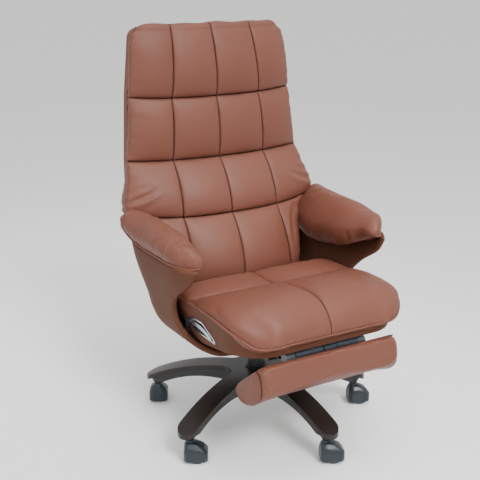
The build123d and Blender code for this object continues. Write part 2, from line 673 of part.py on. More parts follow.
def handle_bezel():
    """Chrome ring round the handle's recess and the dish behind it, let into the panel."""
    plane = handle_plane()
    depth = POCKET_DEPTH - SEAT_GAP
    dish = leaf(RING / 2 + SEAT_GAP)
    bezel = extrude(plane * (leaf(0) - leaf(RING)), HANDLE_PROUD)
    bezel += extrude(plane * (dish - leaf(RING)), -depth)
    floor = extrude(plane * dish, -depth) - extrude(plane * dish, -(depth - DISH_FLOOR))
    return bezel + floor + paddle_pin(PADDLE_PIN_R, PADDLE_SKIN + SEAT_GAP)


def paddle_pin(radius, below_top):
    """Pin that the paddle turns on, from the dish's floor to below_top under the paddle's face."""
    tip_x, tip_y = PADDLE_PIVOT
    foot = POCKET_DEPTH - SEAT_GAP
    length = foot + HANDLE_PROUD + PADDLE_PROUD - below_top
    return extrude(handle_plane() * Pos(tip_x, tip_y, -foot) * Circle(radius), length)


def paddle_outline():
    """Crescent from the pivot at the front tip to the broad rear end of the recess."""
    inner = HANDLE_LONG / 2 - RING
    tip_x, tip_y = PADDLE_PIVOT
    upper = ThreePointArc((tip_x - 2, tip_y + 5), (-20, 9), (inner - 8, -4.5))
    rear = Line((inner - 8, -4.5), (inner - 7, -12))
    lower = ThreePointArc((inner - 7, -12), (0, -4), (tip_x + 6, tip_y - 5))
    nose = ThreePointArc((tip_x + 6, tip_y - 5), (tip_x - 3, tip_y - 3), (tip_x - 2, tip_y + 5))
    return make_face([upper, rear, lower, nose])


def handle_paddle():
    """Pull-up paddle that turns on a pin at the recess's front tip."""
    plane = handle_plane()
    sunk = POCKET_DEPTH - SEAT_GAP - DISH_FLOOR - SEAT_GAP
    outline = paddle_outline() & leaf(RING + PADDLE_ROOM)
    paddle = extrude(plane * outline, HANDLE_PROUD + PADDLE_PROUD)
    paddle += extrude(plane * outline, -sunk)
    return paddle - paddle_pin(PADDLE_PIN_R + RUN_FIT, PADDLE_SKIN)


def seat_pan():
    """Moulded plywood pan inside the side panels."""
    body = seat_taper(SEAT_WALL + SEAT_GAP, 0)
    slab = block((-400, 400), (-400, SEAT_REAR_Y - 14), (PAN_BOTTOM_Z, PAN_BOTTOM_Z + PAN_THICK))
    return body & slab


def seat_section(y, half, crown_z, edge_z, foot_z):
    """One cross-section of the seat cushion's crown at y."""
    side = ThreePointArc((-half, y, foot_z), (-half - 4, y, (foot_z + edge_z) / 2 + 2),
                         (-half + 14, y, edge_z))
    wing = ThreePointArc((-half + 14, y, edge_z), (-half * 0.5, y, crown_z + SEAT_CROWN),
                         (0, y, crown_z))
    other_wing = ThreePointArc((0, y, crown_z), (half * 0.5, y, crown_z + SEAT_CROWN),
                               (half - 14, y, edge_z))
    other_side = ThreePointArc((half - 14, y, edge_z), (half + 4, y, (foot_z + edge_z) / 2 + 2),
                               (half, y, foot_z))
    foot = Line((half, y, foot_z), (-half, y, foot_z))
    return [side, wing, other_wing, other_side, foot]


def seat_cushion():
    """Cushion with a crowned top in four sewn fields and a waterfall front."""
    drawn = SEAT_DRAWN
    stations = (
        (SEAT_REAR_Y, SEAT_HALF - 44, 448, 442, 430),
        (18, SEAT_HALF - 16, 456, 452, 432),
        (-40, SEAT_HALF - 6, 459, 456, 434),
        (-100, SEAT_HALF - 2, 466 - drawn, 460, 436),
        (-165, SEAT_HALF + 2, 477, 464, 436),
        (-235, SEAT_HALF + 4, 484, 467, 436),
        (-300, SEAT_HALF, 481, 464, 430),
        (-340, SEAT_HALF - 20, 464, 446, 414),
        (SEAT_FRONT_Y + 4, SEAT_HALF - 56, 430, 418, 400),
    )
    crown = skin([seat_section(*row) for row in smoothed(stations, 2)])
    crown -= below_seam(-FRAME_GAP)
    core = seat_taper(SEAT_WALL + SEAT_GAP, 3) & below_seam(-2)
    core &= block((-400, 400), (-400, SEAT_REAR_Y), (PAN_BOTTOM_Z + PAN_THICK + SEAT_GAP, 600))
    return core + crown


# ---- back ----
def rear_line_y(z):
    """How far back the cushion reaches at height z."""
    return between(BACK_REAR, z)


def back_section(z, seam_y, side_y, half, field, crown):
    """One level cross-section of the back cushion: four crowned fields side by side."""
    rear = rear_line_y(z)
    marks = ((-half, side_y), (-field, seam_y + 2), (0, seam_y), (field, seam_y + 2),
             (half, side_y))
    fields = []
    for (x0, y0), (x1, y1) in zip(marks, marks[1:]):
        chord_y = (y0 + y1) / 2
        fields.append(ThreePointArc((x0, y0, z), ((x0 + x1) / 2, chord_y - crown, z), (x1, y1, z)))
    flank_y = (rear + side_y) / 2
    left_side = ThreePointArc((6 - half, rear, z), (-half - 5, flank_y, z), (-half, side_y, z))
    right_side = ThreePointArc((half, side_y, z), (half + 5, flank_y, z), (half - 6, rear, z))
    spine = Line((half - 6, rear, z), (6 - half, rear, z))
    return [left_side, *fields, right_side, spine]


def back_row(low, high, puff):
    """Cross-sections of one sewn row, swelling forward between its two seams."""
    sections = []
    for t in ROW_STEPS:
        z = low[0] + (high[0] - low[0]) * (t + 1) / 2
        swell = sqrt(1 - t * t)
        seam_y, side_y, half, field = [a + (b - a) * (t + 1) / 2
                                       for a, b in zip(low[1:], high[1:])]
        sections.append((z, seam_y - puff * swell, side_y - 0.4 * puff * swell,
                         half + 3 * swell, field, BACK_SEAM_CROWN + BACK_CROWN * swell))
    return sections


def back_cushion():
    """Back cushion sewn in four rows of four crowned fields."""
    lower = back_row(*BACK_LOWER, BACK_PUFFS[0])
    upper = []
    for low, high, puff in zip(BACK_UPPER, BACK_UPPER[1:], BACK_PUFFS[1:]):
        row = back_row(low, high, puff)
        upper += row if not upper else row[1:]
    upper += [(*row, BACK_SEAM_CROWN) for row in BACK_TOP]
    cushion = skin([back_section(*row) for row in lower])
    return cushion + skin([back_section(*row) for row in upper])


def behind(near, thick):
    """A layer that follows the cushion's rear line, from near to near + thick behind it."""
    front = [(y + near, z) for z, y in BACK_REAR]
    rear = [(y + thick, z) for y, z in reversed(front)]
    return across(vertical_face(Polyline(*front, *rear, close=True)), -330, 330)


def panel_plan(shrink):
    """The back panel's outline seen from behind, drawn in by shrink, as a bar along Y."""
    right = [(half - shrink, z) for z, half in PANEL_EDGE]
    right[0] = (right[0][0], right[0][1] + shrink)
    right[-1] = (right[-1][0], right[-1][1] - shrink)
    left = [(-x, z) for x, z in reversed(right)]
    corners = make_face(Polyline(*right, *left, close=True))
    return extrude(Plane.XZ * fillet(corners.vertices(), PANEL_CORNER_R), 600, both=True)


def bolt_places():
    """x and z of the four bolts that hold the panel to the bracket's upright."""
    return [(side * 70, z) for side in SIDES.values() for z in (440.0, 520.0)]


def back_frame():
    """Plywood panel that carries the cushion and is bolted to the bracket."""
    panel = behind(SEAT_GAP, BACK_PLY) & panel_plan(COVER_RIM_WIDE + 6)
    for x, z in bolt_places():
        panel -= Pos(x, 200, z) * Rot(90, 0, 0) * Cylinder(BOLT_HOLE_R, 300)
    return panel


def back_cover():
    """Wrapped rear cover over the plywood panel and the bracket."""
    depth = 3 * SEAT_GAP + BACK_PLY + UPRIGHT_THICK
    plan = panel_plan(0)
    rim = plan - panel_plan(COVER_RIM_WIDE)
    mouth = BRACKET_INNER + BRACKET_PLATE + FRAME_GAP
    rim -= block((-mouth, mouth), (0, 400), (300, 470))
    return (behind(depth, BACK_COVER) & plan) + (behind(SEAT_GAP, depth) & rim)


def bracket_side():
    """Side view of the bracket: eye at the pivot, arm to the rear, upright behind the back."""
    heel_y = 128.0
    heel_low = 318.0
    height = 38.0
    eye = Pos(PIVOT_Y, PIVOT_Z) * Circle(PIVOT_EYE_R)
    arm = make_face(Polyline((PIVOT_Y + 4, PIVOT_Z - 17), (heel_y, heel_low),
                             (heel_y + 48, heel_low + 46), (heel_y + 20, heel_low + height),
                             (PIVOT_Y + 4, PIVOT_Z + 17), close=True))
    return eye + arm


def back_bracket():
    """Steel bracket: two pivot plates, a cross beam and an upright behind the back panel."""
    plane = Plane(origin=(BRACKET_INNER, 0, 0), x_dir=(0, 1, 0), z_dir=(1, 0, 0))
    plate = extrude(plane * bracket_side(), BRACKET_PLATE)
    plate -= bar_x(PIVOT_Y, PIVOT_Z, PIVOT_R + RUN_FIT, 0, 200)
    body = plate + plate.mirror(Plane.YZ)
    outer = BRACKET_INNER + BRACKET_PLATE
    beam = Polyline((124, 334), (150, 339), (192, 351), (189, 361), (148, 350), (122, 344),
                    close=True)
    body += across(vertical_face(beam), -outer, outer)
    near = SEAT_GAP + BACK_PLY + SEAT_GAP
    front = [(rear_line_y(z) + near, z) for z in UPRIGHT_Z]
    rear = [(y + UPRIGHT_THICK, z) for y, z in reversed(front)]
    upright = across(vertical_face(Polyline(*front, *rear, close=True)), -UPRIGHT_HALF, UPRIGHT_HALF)
    for x, z in bolt_places():
        upright -= Pos(x, 200, z) * Rot(90, 0, 0) * Cylinder(BOLT_HOLE_R, 300)
    body += upright
    stud_y, stud_z = SPRING_HEAD
    body += bar_x(stud_y, stud_z, STUD_R, SPRING_X - SPRING_EYE_THICK / 2 - 1, BRACKET_INNER + 1)
    return body


# ---- arms ----
def arm_bend(station):
    """Radius and turn of the stretch that curves round behind the sitter."""
    rear_y, turn_in = station[3:5]
    span = rear_y - ARM_BEND_Y
    turn = 2 * atan(turn_in / span)
    return span / sin(turn), turn


ARM_STATIONS = (
    # x, z, front y, rear y, how far the rear end and the nose turn in
    (BRACKET_INNER + BRACKET_PLATE + SEAT_GAP, 299.0, -142.0, 86.0, 2.0, 0.5),
    (SEAT_HALF - 96, 296.0, -144.0, 96.0, 3.0, 0.5),
    (SEAT_HALF - 50, 302.0, -134.0, 118.0, 6.0, 0.5),
    (SEAT_HALF - 10, 326.0, -96.0, 146.0, 14.0, 0.5),
    (SEAT_HALF + 14, 368.0, -58.0, 172.0, 30.0, 0.5),
    (SEAT_HALF + 28, 418.0, -52.0, 196.0, 48.0, 1.0),
    (SEAT_HALF + 45, 468.0, -88.0, 214.0, 62.0, 5.0),
    (SEAT_HALF + 61, 522.0, -160.0, 228.0, 72.0, 19.0),
    (SEAT_HALF + 71, 574.0, -197.0, 238.0, 78.0, 33.0),
)


def arm_section(stations, index):
    """Edges of one section across the arm shell, square to its C-shaped path."""
    x, z, front_y = stations[index][:3]
    nose = stations[index][5]
    nose_y = front_y + ARM_NOSE
    last = len(stations) - 1
    before = stations[max(index - 1, 0)]
    after = stations[min(index + 1, last)]
    along = Vector(after[0] - before[0], 0, after[1] - before[1]).normalized()
    if index == 0:
        along = Vector(1, 0, 0)
    if index == last:
        along = Vector(0, 0, 1)
    out = Vector(along.Z, 0, -along.X)
    radius, turn = arm_bend(stations[index])

    def point(depth, y):
        return Vector(x, 0, z) + out * depth + Vector(0, y, 0)

    def on_bend(share, inner):
        reach = radius - inner
        return point(reach * cos(turn * share) - radius, ARM_BEND_Y + reach * sin(turn * share))

    wall = ARM_WALL
    middle_y = (front_y + nose_y) / 2
    return [
        Line(point(0, nose_y), point(0, ARM_BEND_Y)),
        ThreePointArc(on_bend(0, 0), on_bend(0.5, 0), on_bend(1, 0)),
        Line(on_bend(1, 0), on_bend(1, wall)),
        ThreePointArc(on_bend(1, wall), on_bend(0.5, wall), on_bend(0, wall)),
        Line(point(-wall, ARM_BEND_Y), point(-wall, nose_y)),
        ThreePointArc(point(-wall, nose_y), point(-wall - nose / 4, middle_y),
                      point(-wall - nose, front_y)),
        ThreePointArc(point(-wall - nose, front_y), point(-wall / 2 - nose, front_y - 6),
                      point(-nose, front_y)),
        ThreePointArc(point(-nose, front_y), point(-nose / 4, middle_y), point(0, nose_y)),
    ]


def arm_shell():
    """C-shaped wrapped shell from under the seat up to the armrest, on the sitter's left."""
    stations = smoothed(ARM_STATIONS, 2)
    return skin([arm_section(stations, k) for k in range(len(stations))])


def turned_in(y):
    """How far the top of the shell has curved inwards at y."""
    front_y = ARM_STATIONS[-1][2]
    nose = ARM_STATIONS[-1][5]
    if y < front_y + ARM_NOSE:
        return nose * ((front_y + ARM_NOSE - y) / ARM_NOSE) ** 2
    radius, turn = arm_bend(ARM_STATIONS[-1])
    if y <= ARM_BEND_Y:
        return 0.0
    return radius * (1 - cos(asin((y - ARM_BEND_Y) / radius)))


def pad_section(y, wide, crown_z, inner_z):
    """One cross-section of the arm pad at y."""
    seam_z = ARM_STATIONS[-1][1] + FRAME_GAP
    outer = ARM_STATIONS[-1][0] - turned_in(y)
    ledge = outer - ARM_WALL - 3
    inner = outer - wide
    crown_x = (outer + inner) / 2 + 4
    brow = ThreePointArc((outer, y, seam_z), (outer - 3, y, (seam_z + crown_z) / 2 + 6),
                         (crown_x, y, crown_z))
    inside = ThreePointArc((crown_x, y, crown_z), (inner - 1, y, (crown_z + inner_z) / 2 + 8),
                           (inner + 4, y, inner_z))
    slope = Line((inner + 4, y, inner_z), (ledge, y, seam_z))
    flat = Line((ledge, y, seam_z), (outer, y, seam_z))
    return [brow, inside, slope, flat]


def arm_pad():
    """Cushion on top of the arm shell, on the sitter's left."""
    stations = (
        (-203, 26, 588, 582),
        (-192, 34, 606, 570),
        (-160, 52, 623, 556),
        (-110, 82, 637, 542),
        (-60, 103, 645, 530),
        (40, 106, 652, 522),
        (120, 92, 648, 522),
        (182, 62, 628, 536),
    )
    return skin([pad_section(*row) for row in smoothed(stations, 2)])


# ---- recline gas spring ----
def spring_length():
    return hypot(SPRING_HEAD[0] - SPRING_FOOT[0], SPRING_HEAD[1] - SPRING_FOOT[1])


def spring_place():
    """Local X runs from the foot stud to the head stud."""
    lift = degrees(atan2(SPRING_HEAD[1] - SPRING_FOOT[1], SPRING_HEAD[0] - SPRING_FOOT[0]))
    frame = Plane(origin=(SPRING_X, *SPRING_FOOT), x_dir=(0, 1, 0), z_dir=(1, 0, 0))
    return frame.location * Rot(0, 0, lift)


def spring_eye(x, bore):
    ring = Pos(x, 0, 0) * Cylinder(bore + 5, SPRING_EYE_THICK)
    return ring - Pos(x, 0, 0) * Cylinder(bore, SPRING_EYE_THICK + 2)


def lying(radius, low, high):
    """A round bar along local X."""
    return Pos((low + high) / 2, 0, 0) * Rot(0, 90, 0) * Cylinder(radius, high - low)


def spring_cylinder():
    """Gas spring body with its foot eye."""
    eye_edge = STUD_R + RUN_FIT + 3
    start = eye_edge + 6
    body = lying(SPRING_R, start, start + SPRING_BODY)
    body += lying(SPRING_ROD_R + 1, eye_edge, start + 1)
    body -= lying(SPRING_R - SPRING_BORE_WALL, start + 4, start + SPRING_BODY - 8)
    body -= lying(SPRING_ROD_R + RUN_FIT, start + SPRING_BODY - 20, start + SPRING_BODY + 5)
    return spring_place() * (body + spring_eye(0, STUD_R + RUN_FIT))


def spring_rod():
    """Gas spring rod with its piston and head eye."""
    length = spring_length()
    eye_bore = STUD_R + OPEN_PIVOT_GAP
    piston_x = 128.0
    rod = lying(SPRING_ROD_R, piston_x, length - eye_bore - 3)
    rod += lying(SPRING_R - SPRING_BORE_WALL - RUN_FIT, piston_x - 6, piston_x)
    return spring_place() * (rod + spring_eye(length, eye_bore))


# ---- everything, by node name ----
def chair():
    nodes = {
        "star_frame": star_frame(),
        "star_cover": star_cover(),
        "caster_stems": caster_stems(),
        "stand_tube": stand_tube(),
        "guide_bush": guide_bush(),
        "thrust_bearing": thrust_bearing(),
        "piston_rod": piston_rod(),
        "rod_clip": rod_clip(),
        "pressure_tube": pressure_tube(),
        "chassis": chassis(),
        "mounting_plate": mounting_plate(),
        "pivot_shaft": pivot_shaft(),
        "footrest_guides": footrest_guides(),
        "seat_pan": seat_pan(),
        "seat_fascia": seat_fascia(),
        "seat_cushion": seat_cushion(),
        "slide_rails": slide_rails(),
        "cross_tube": cross_tube(),
        "footrest_board": footrest_board(),
        "footrest_pad": footrest_pad(),
        "latch_frame": latch_frame(),
        "back_bracket": back_bracket(),
        "back_frame": back_frame(),
        "back_cover": back_cover(),
        "back_cushion": back_cushion(),
        "spring_cylinder": spring_cylinder(),
        "spring_rod": spring_rod(),
    }
    for name, side in SIDES.items():
        nodes["handle_bezel_" + name] = mirrored(side, handle_bezel())
        nodes["arm_shell_" + name] = mirrored(side, arm_shell())
        nodes["arm_pad_" + name] = mirrored(side, arm_pad())
    nodes["recline_paddle"] = mirrored(SIDES["right"], handle_paddle())
    nodes["lift_paddle"] = mirrored(SIDES["left"], handle_paddle())
    for name, span in zip(SIDES, HINGE_SPANS):
        nodes["hinge_plate_" + name] = hinge_plate(*span)
    hood = caster_hood()
    axle = caster_axle()
    wheels = {name: caster_wheel(side) for name, side in SIDES.items()}
    for k, place in enumerate(leg_places(STEM_CIRCLE_R)):
        here = Pos(*place.position) * Rot(0, 0, CASTER_TURNS[k])
        number = str(k + 1)
        nodes["caster_hood_" + number] = here * hood
        nodes["caster_axle_" + number] = here * axle
        for name, wheel in wheels.items():
            nodes["caster_wheel_" + number + "_" + name] = here * wheel
    return nodes


os.makedirs("parts", exist_ok=True)
for node, shape in chair().items():
    export_step(shape, "parts/" + node + ".step")
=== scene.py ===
"""Reclining office chair with a pull-out footrest: its soft goods, finishes and studio."""
import logging
import math
from dataclasses import dataclass
from enum import Enum
from typing import Sequence

import bpy
import numpy as np
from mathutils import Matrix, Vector


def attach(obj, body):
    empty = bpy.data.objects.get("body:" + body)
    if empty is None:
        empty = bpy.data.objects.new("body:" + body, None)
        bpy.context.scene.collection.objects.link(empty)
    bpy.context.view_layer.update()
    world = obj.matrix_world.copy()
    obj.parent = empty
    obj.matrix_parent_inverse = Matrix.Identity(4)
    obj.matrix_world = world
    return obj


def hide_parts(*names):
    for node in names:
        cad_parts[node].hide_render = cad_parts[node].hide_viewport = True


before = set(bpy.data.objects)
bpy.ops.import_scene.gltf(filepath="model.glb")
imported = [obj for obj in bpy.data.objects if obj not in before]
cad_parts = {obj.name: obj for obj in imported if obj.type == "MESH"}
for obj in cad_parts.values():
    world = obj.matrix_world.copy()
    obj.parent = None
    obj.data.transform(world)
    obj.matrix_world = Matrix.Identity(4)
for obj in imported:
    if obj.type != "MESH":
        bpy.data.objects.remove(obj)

LOG = logging.getLogger("chair")
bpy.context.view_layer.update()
MM = 0.001
SEED = 7

Array = np.ndarray
ArrayPair = tuple[Array, Array]
Piece = bpy.types.Object
Material = bpy.types.Material
Socket = bpy.types.NodeSocket
Point = tuple[float, float, float]
Row = tuple[float, ...]
Pairs = tuple[tuple[float, float], ...]


class Side(Enum):
    """The sitter's two sides, by the sign of X."""

    RIGHT = -1
    LEFT = 1


# ---- numbers and curves ----
def to_linear(code: str) -> tuple[float, float, float, float]:
    """Turn an sRGB hex colour into linear light.

    Args:
        code: Six hex digits, with or without a leading #.

    Returns:
        Red, green, blue and an alpha of 1.
    """
    digits = code.lstrip("#")
    parts = [int(digits[k:k + 2], 16) / 255 for k in (0, 2, 4)]
    red, green, blue = [p / 12.92 if p <= 0.04045 else ((p + 0.055) / 1.055) ** 2.4 for p in parts]
    return red, green, blue, 1.0


def through(at: Array, levels: Sequence[float], values: Sequence[float]) -> Array:
    """Read a smooth curve that passes through the given values.

    Args:
        at: Where to read it.
        levels: Rising positions of the known values.
        values: The known values.

    Returns:
        The curve's value at each position, level with its ends beyond them.
    """
    x = np.asarray(levels, float)
    y = np.asarray(values, float)
    slope = np.gradient(y, x)
    at = np.clip(np.asarray(at, float), x[0], x[-1])
    k = np.clip(np.searchsorted(x, at, side="right") - 1, 0, len(x) - 2)
    step = x[k + 1] - x[k]
    t = (at - x[k]) / step
    return (y[k] * (2 * t**3 - 3 * t**2 + 1) + y[k + 1] * (3 * t**2 - 2 * t**3)
            + step * (slope[k] * (t**3 - 2 * t**2 + t) + slope[k + 1] * (t**3 - t**2)))


def along_line(share: Array, line: Pairs) -> ArrayPair:
    """Read both coordinates of a smooth line at shares of its length."""
    points = np.array(line)
    run = np.r_[0, np.cumsum(np.hypot(*np.diff(points, axis=0).T))]
    return (through(share, run / run[-1], points[:, 0]),
            through(share, run / run[-1], points[:, 1]))


def eased(cells: Sequence[int], ease: float = 0.55) -> Array:
    """Divide a run of sewn cells so that the steps are finer next to each seam.

    Args:
        cells: How many steps each cell gets.
        ease: 0 for even steps, 1 for steps that close up fully at the seams.

    Returns:
        Rising cell coordinates from 0 to the number of cells.
    """
    marks = [0.0]
    for k, steps in enumerate(cells):
        t = np.arange(1, steps + 1) / steps
        marks.extend(k + (1 - ease) * t + ease * (1 - np.cos(np.pi * t)) / 2)
    return np.array(marks)


def unit(value: Array) -> Array:
    """Hold a share between 0 and 1."""
    return np.clip(value, 0, 1)


def puff(t: Array, power: float = 0.6) -> Array:
    """Rise and fall of a padded cell across its width, 0 at its seams and 1 at its middle."""
    return unit(4 * t * (1 - t)) ** power


# ---- meshes ----
def add_object(name: str, data: bpy.types.ID) -> Piece:
    """Add an object with the given data to the scene."""
    thing = bpy.data.objects.new(name, data)
    bpy.context.scene.collection.objects.link(thing)
    return thing


def deselect_all() -> None:
    """Leave nothing selected, because an operator acts on all that is."""
    if bpy.context.mode != "OBJECT":
        bpy.ops.object.mode_set(mode="OBJECT")
    bpy.ops.object.select_all(action="DESELECT")


def take(piece: Piece) -> None:
    """Make one piece the only selected and the active one."""
    deselect_all()
    piece.select_set(True)
    bpy.context.view_layer.objects.active = piece


def apply_all(piece: Piece) -> None:
    """Apply every modifier of a piece in order."""
    take(piece)
    for modifier in list(piece.modifiers):
        bpy.ops.object.modifier_apply(modifier=modifier.name)


def places(piece: Piece) -> Array:
    """The piece's points as rows of x, y, z."""
    co = np.empty(len(piece.data.vertices) * 3)
    piece.data.vertices.foreach_get("co", co)
    return co.reshape(-1, 3)


def put(piece: Piece, co: Array) -> None:
    """Move the piece's points to the given rows of x, y, z."""
    piece.data.vertices.foreach_set("co", np.ascontiguousarray(co, dtype=np.float64).ravel())
    piece.data.update()


def normals(piece: Piece) -> Array:
    """The outward direction at each of the piece's points."""
    out = np.empty(len(piece.data.vertices) * 3)
    piece.data.vertices.foreach_get("normal", out)
    return out.reshape(-1, 3)


def mark(piece: Piece, name: str, values: Array) -> None:
    """Store one number for each point under a name that a material reads."""
    layer = piece.data.attributes.get(name) or piece.data.attributes.new(name, "FLOAT", "POINT")
    layer.data.foreach_set("value", np.asarray(values, np.float32).ravel())


def marked(piece: Piece, name: str) -> Array:
    """Read back the numbers stored under a name."""
    values = np.empty(len(piece.data.vertices), np.float32)
    piece.data.attributes[name].data.foreach_get("value", values)
    return values.astype(float)


def from_sheets(name: str, outer: Array, inner: Array) -> Piece:
    """Join two sheets of points along all four edges into one closed piece.

    Args:
        name: The piece's name.
        outer: Rows by columns by 3, the sheet that is seen.
        inner: The same count of points, the sheet behind it.

    Returns:
        The new object, with all its faces turned the same way.
    """
    rows, columns = outer.shape[:2]
    count = rows * columns
    index = np.arange(count).reshape(rows, columns)
    quads = []
    for base, turned in ((index, False), (index + count, True)):
        a, b = base[:-1, :-1].ravel(), base[:-1, 1:].ravel()
        c, d = base[1:, 1:].ravel(), base[1:, :-1].ravel()
        quads.append(np.stack((d, c, b, a) if turned else (a, b, c, d), 1))
    rim = np.concatenate((index[0, :], index[1:, -1], index[-1, -2::-1], index[-2:0:-1, 0]))
    following = np.roll(rim, -1)
    quads.append(np.stack((following, rim, rim + count, following + count), 1))
    mesh = bpy.data.meshes.new(name)
    points = np.concatenate((outer.reshape(-1, 3), inner.reshape(-1, 3)))
    mesh.from_pydata(points.tolist(), [], np.concatenate(quads).tolist())
    piece = add_object(name, mesh)
    take(piece)
    bpy.ops.object.mode_set(mode="EDIT")
    bpy.ops.mesh.select_all(action="SELECT")
    bpy.ops.mesh.normals_make_consistent(inside=False)
    bpy.ops.object.mode_set(mode="OBJECT")
    bpy.ops.object.shade_smooth()
    return piece


@dataclass(frozen=True)
class Filling:
    """How a sewn form fills out under pressure."""

    pressure: float = 4.0
    slack: float = 0.02       # share by which the cover is cut too large
    cap: float = 12 * MM      # furthest that a point may move
    frames: int = 20
    stiffness: float = 12.0
    bending: float = 1.5
    mass: float = 0.3
    quality: int = 4
    jitter: float = 0.25 * MM     # first unevenness, from which small puckers grow


def fill_out(piece: Piece, held: Array, filling: Filling) -> None:
    """Blow a sewn form up as cloth, held along its seams, and keep the result.

    Args:
        piece: The closed form.
        held: One weight for each point, 1 where the cover is sewn down.
        filling: Pressure, slack and the cap on movement.
    """
    start = places(piece)
    rough = np.random.default_rng(SEED).normal(0, filling.jitter, start.shape)
    put(piece, start + rough * (1 - held)[:, None])
    group = piece.vertex_groups.new(name="held")
    for weight in np.unique(np.round(held, 1)):
        if weight > 0:
            group.add([int(k) for k in np.flatnonzero(np.round(held, 1) == weight)],
                      float(weight), "REPLACE")
    cloth = piece.modifiers.new("filling", "CLOTH")
    settings = cloth.settings
    settings.quality = filling.quality
    settings.mass = filling.mass
    settings.tension_stiffness = filling.stiffness
    settings.compression_stiffness = filling.stiffness
    settings.shear_stiffness = filling.stiffness / 2
    settings.bending_stiffness = filling.bending
    settings.use_pressure = True
    settings.uniform_pressure_force = filling.pressure
    settings.shrink_min = -filling.slack
    settings.vertex_group_mass = group.name
    settings.pin_stiffness = 1.0
    settings.effector_weights.gravity = 0.0
    cloth.collision_settings.use_collision = False
    cloth.point_cache.frame_start = 1
    cloth.point_cache.frame_end = filling.frames
    scene = bpy.context.scene
    for number in range(1, filling.frames + 1):
        scene.frame_set(number)
    apply_all(piece)
    moved = places(piece) - start
    length = np.linalg.norm(moved, axis=1)
    limit = filling.cap * np.tanh(length / filling.cap) / np.maximum(length, 1e-9)
    put(piece, start + moved * limit[:, None])
    piece.vertex_groups.clear()
    scene.frame_set(1)


def refine(piece: Piece, levels: int = 1) -> None:
    """Subdivide a piece smoothly and apply it."""
    smooth = piece.modifiers.new("smooth", "SUBSURF")
    smooth.levels = levels
    smooth.render_levels = levels
    apply_all(piece)


def sew(name: str, sheets: ArrayPair, seam: Array, held: Array,
        filling: Filling) -> Piece:
    """Join a soft piece's two sheets, mark its seams, fill it out and refine it.

    Args:
        name: The piece's name.
        sheets: The seen sheet and the one behind it.
        seam: One seam mark for each point of the seen sheet.
        held: One weight for each of them, 1 where the cover is sewn down.
        filling: How it fills out.

    Returns:
        The sewn piece.
    """
    piece = from_sheets(name, *sheets)
    # the seam marks also darken the leather there: painted shade in the seam grooves, partly the
    # seam line itself
    mark(piece, "seam", np.concatenate((seam.ravel(), np.zeros(seam.size))))
    fill_out(piece, np.concatenate((held.ravel(), np.ones(held.size))), filling)
    refine(piece)
    return piece


def draw_in(piece: Piece, depth: float, edge: float = 0.5) -> None:
    """Pull the cover in along its seams, by the stored seam marks."""
    seam = marked(piece, "seam")
    pull = unit((seam - edge) / (1 - edge))
    put(piece, places(piece) - normals(piece) * (depth * pull)[:, None])


def piping(name: str, line: Array, radius: float, closed: bool = False) -> Piece:
    """Lay a covered cord along a line of points.

    Args:
        name: The piece's name.
        line: The cord's centre line, one row a point.
        radius: Half its thickness, in metres.
        closed: Whether it meets its own start.

    Returns:
        The cord as a mesh.
    """
    curve = bpy.data.curves.new(name, "CURVE")
    curve.dimensions = "3D"
    curve.bevel_depth = radius
    curve.bevel_resolution = 2
    curve.use_fill_caps = not closed
    spline = curve.splines.new("POLY")
    spline.points.add(len(line) - 1)
    spline.points.foreach_set("co", np.c_[line, np.ones(len(line))].ravel())
    spline.use_cyclic_u = closed
    holder = add_object(name + "_line", curve)
    take(holder)
    bpy.ops.object.convert(target="MESH")
    holder.name = name
    holder.data.name = name
    bpy.ops.object.shade_smooth()
    return holder


def hand_over(piece: Piece, body: str, material: Material,
              stands_for: Sequence[str] = ()) -> Piece:
    """Dress a piece and let it ride on its body.

    Args:
        piece: The finished piece.
        body: The CAD body that carries it.
        material: Its finish.
        stands_for: CAD nodes that it replaces.

    Returns:
        The piece.
    """
    piece.data.materials.clear()
    piece.data.materials.append(material)
    if stands_for:
        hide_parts(*stands_for)
    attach(piece, body)
    LOG.info("%s: %d faces on %s", piece.name, len(piece.data.polygons), body)
    return piece


# ---- finishes ----
def add_node(tree: bpy.types.NodeTree, kind: str, settings: dict | None = None,
             values: dict | None = None, links: dict | None = None) -> bpy.types.Node:
    """Add a shader node with its settings, socket values and incoming links.

    Args:
        tree: The material's node tree.
        kind: The node's type name.
        settings: Attributes of the node itself.
        values: Socket name or number to a fixed value.
        links: Socket name or number to the socket that feeds it.

    Returns:
        The node.
    """
    node = tree.nodes.new(kind)
    for name, value in (settings or {}).items():
        setattr(node, name, value)
    for socket, value in (values or {}).items():
        node.inputs[socket].default_value = value
    for socket, source in (links or {}).items():
        tree.links.new(source, node.inputs[socket])
    return node


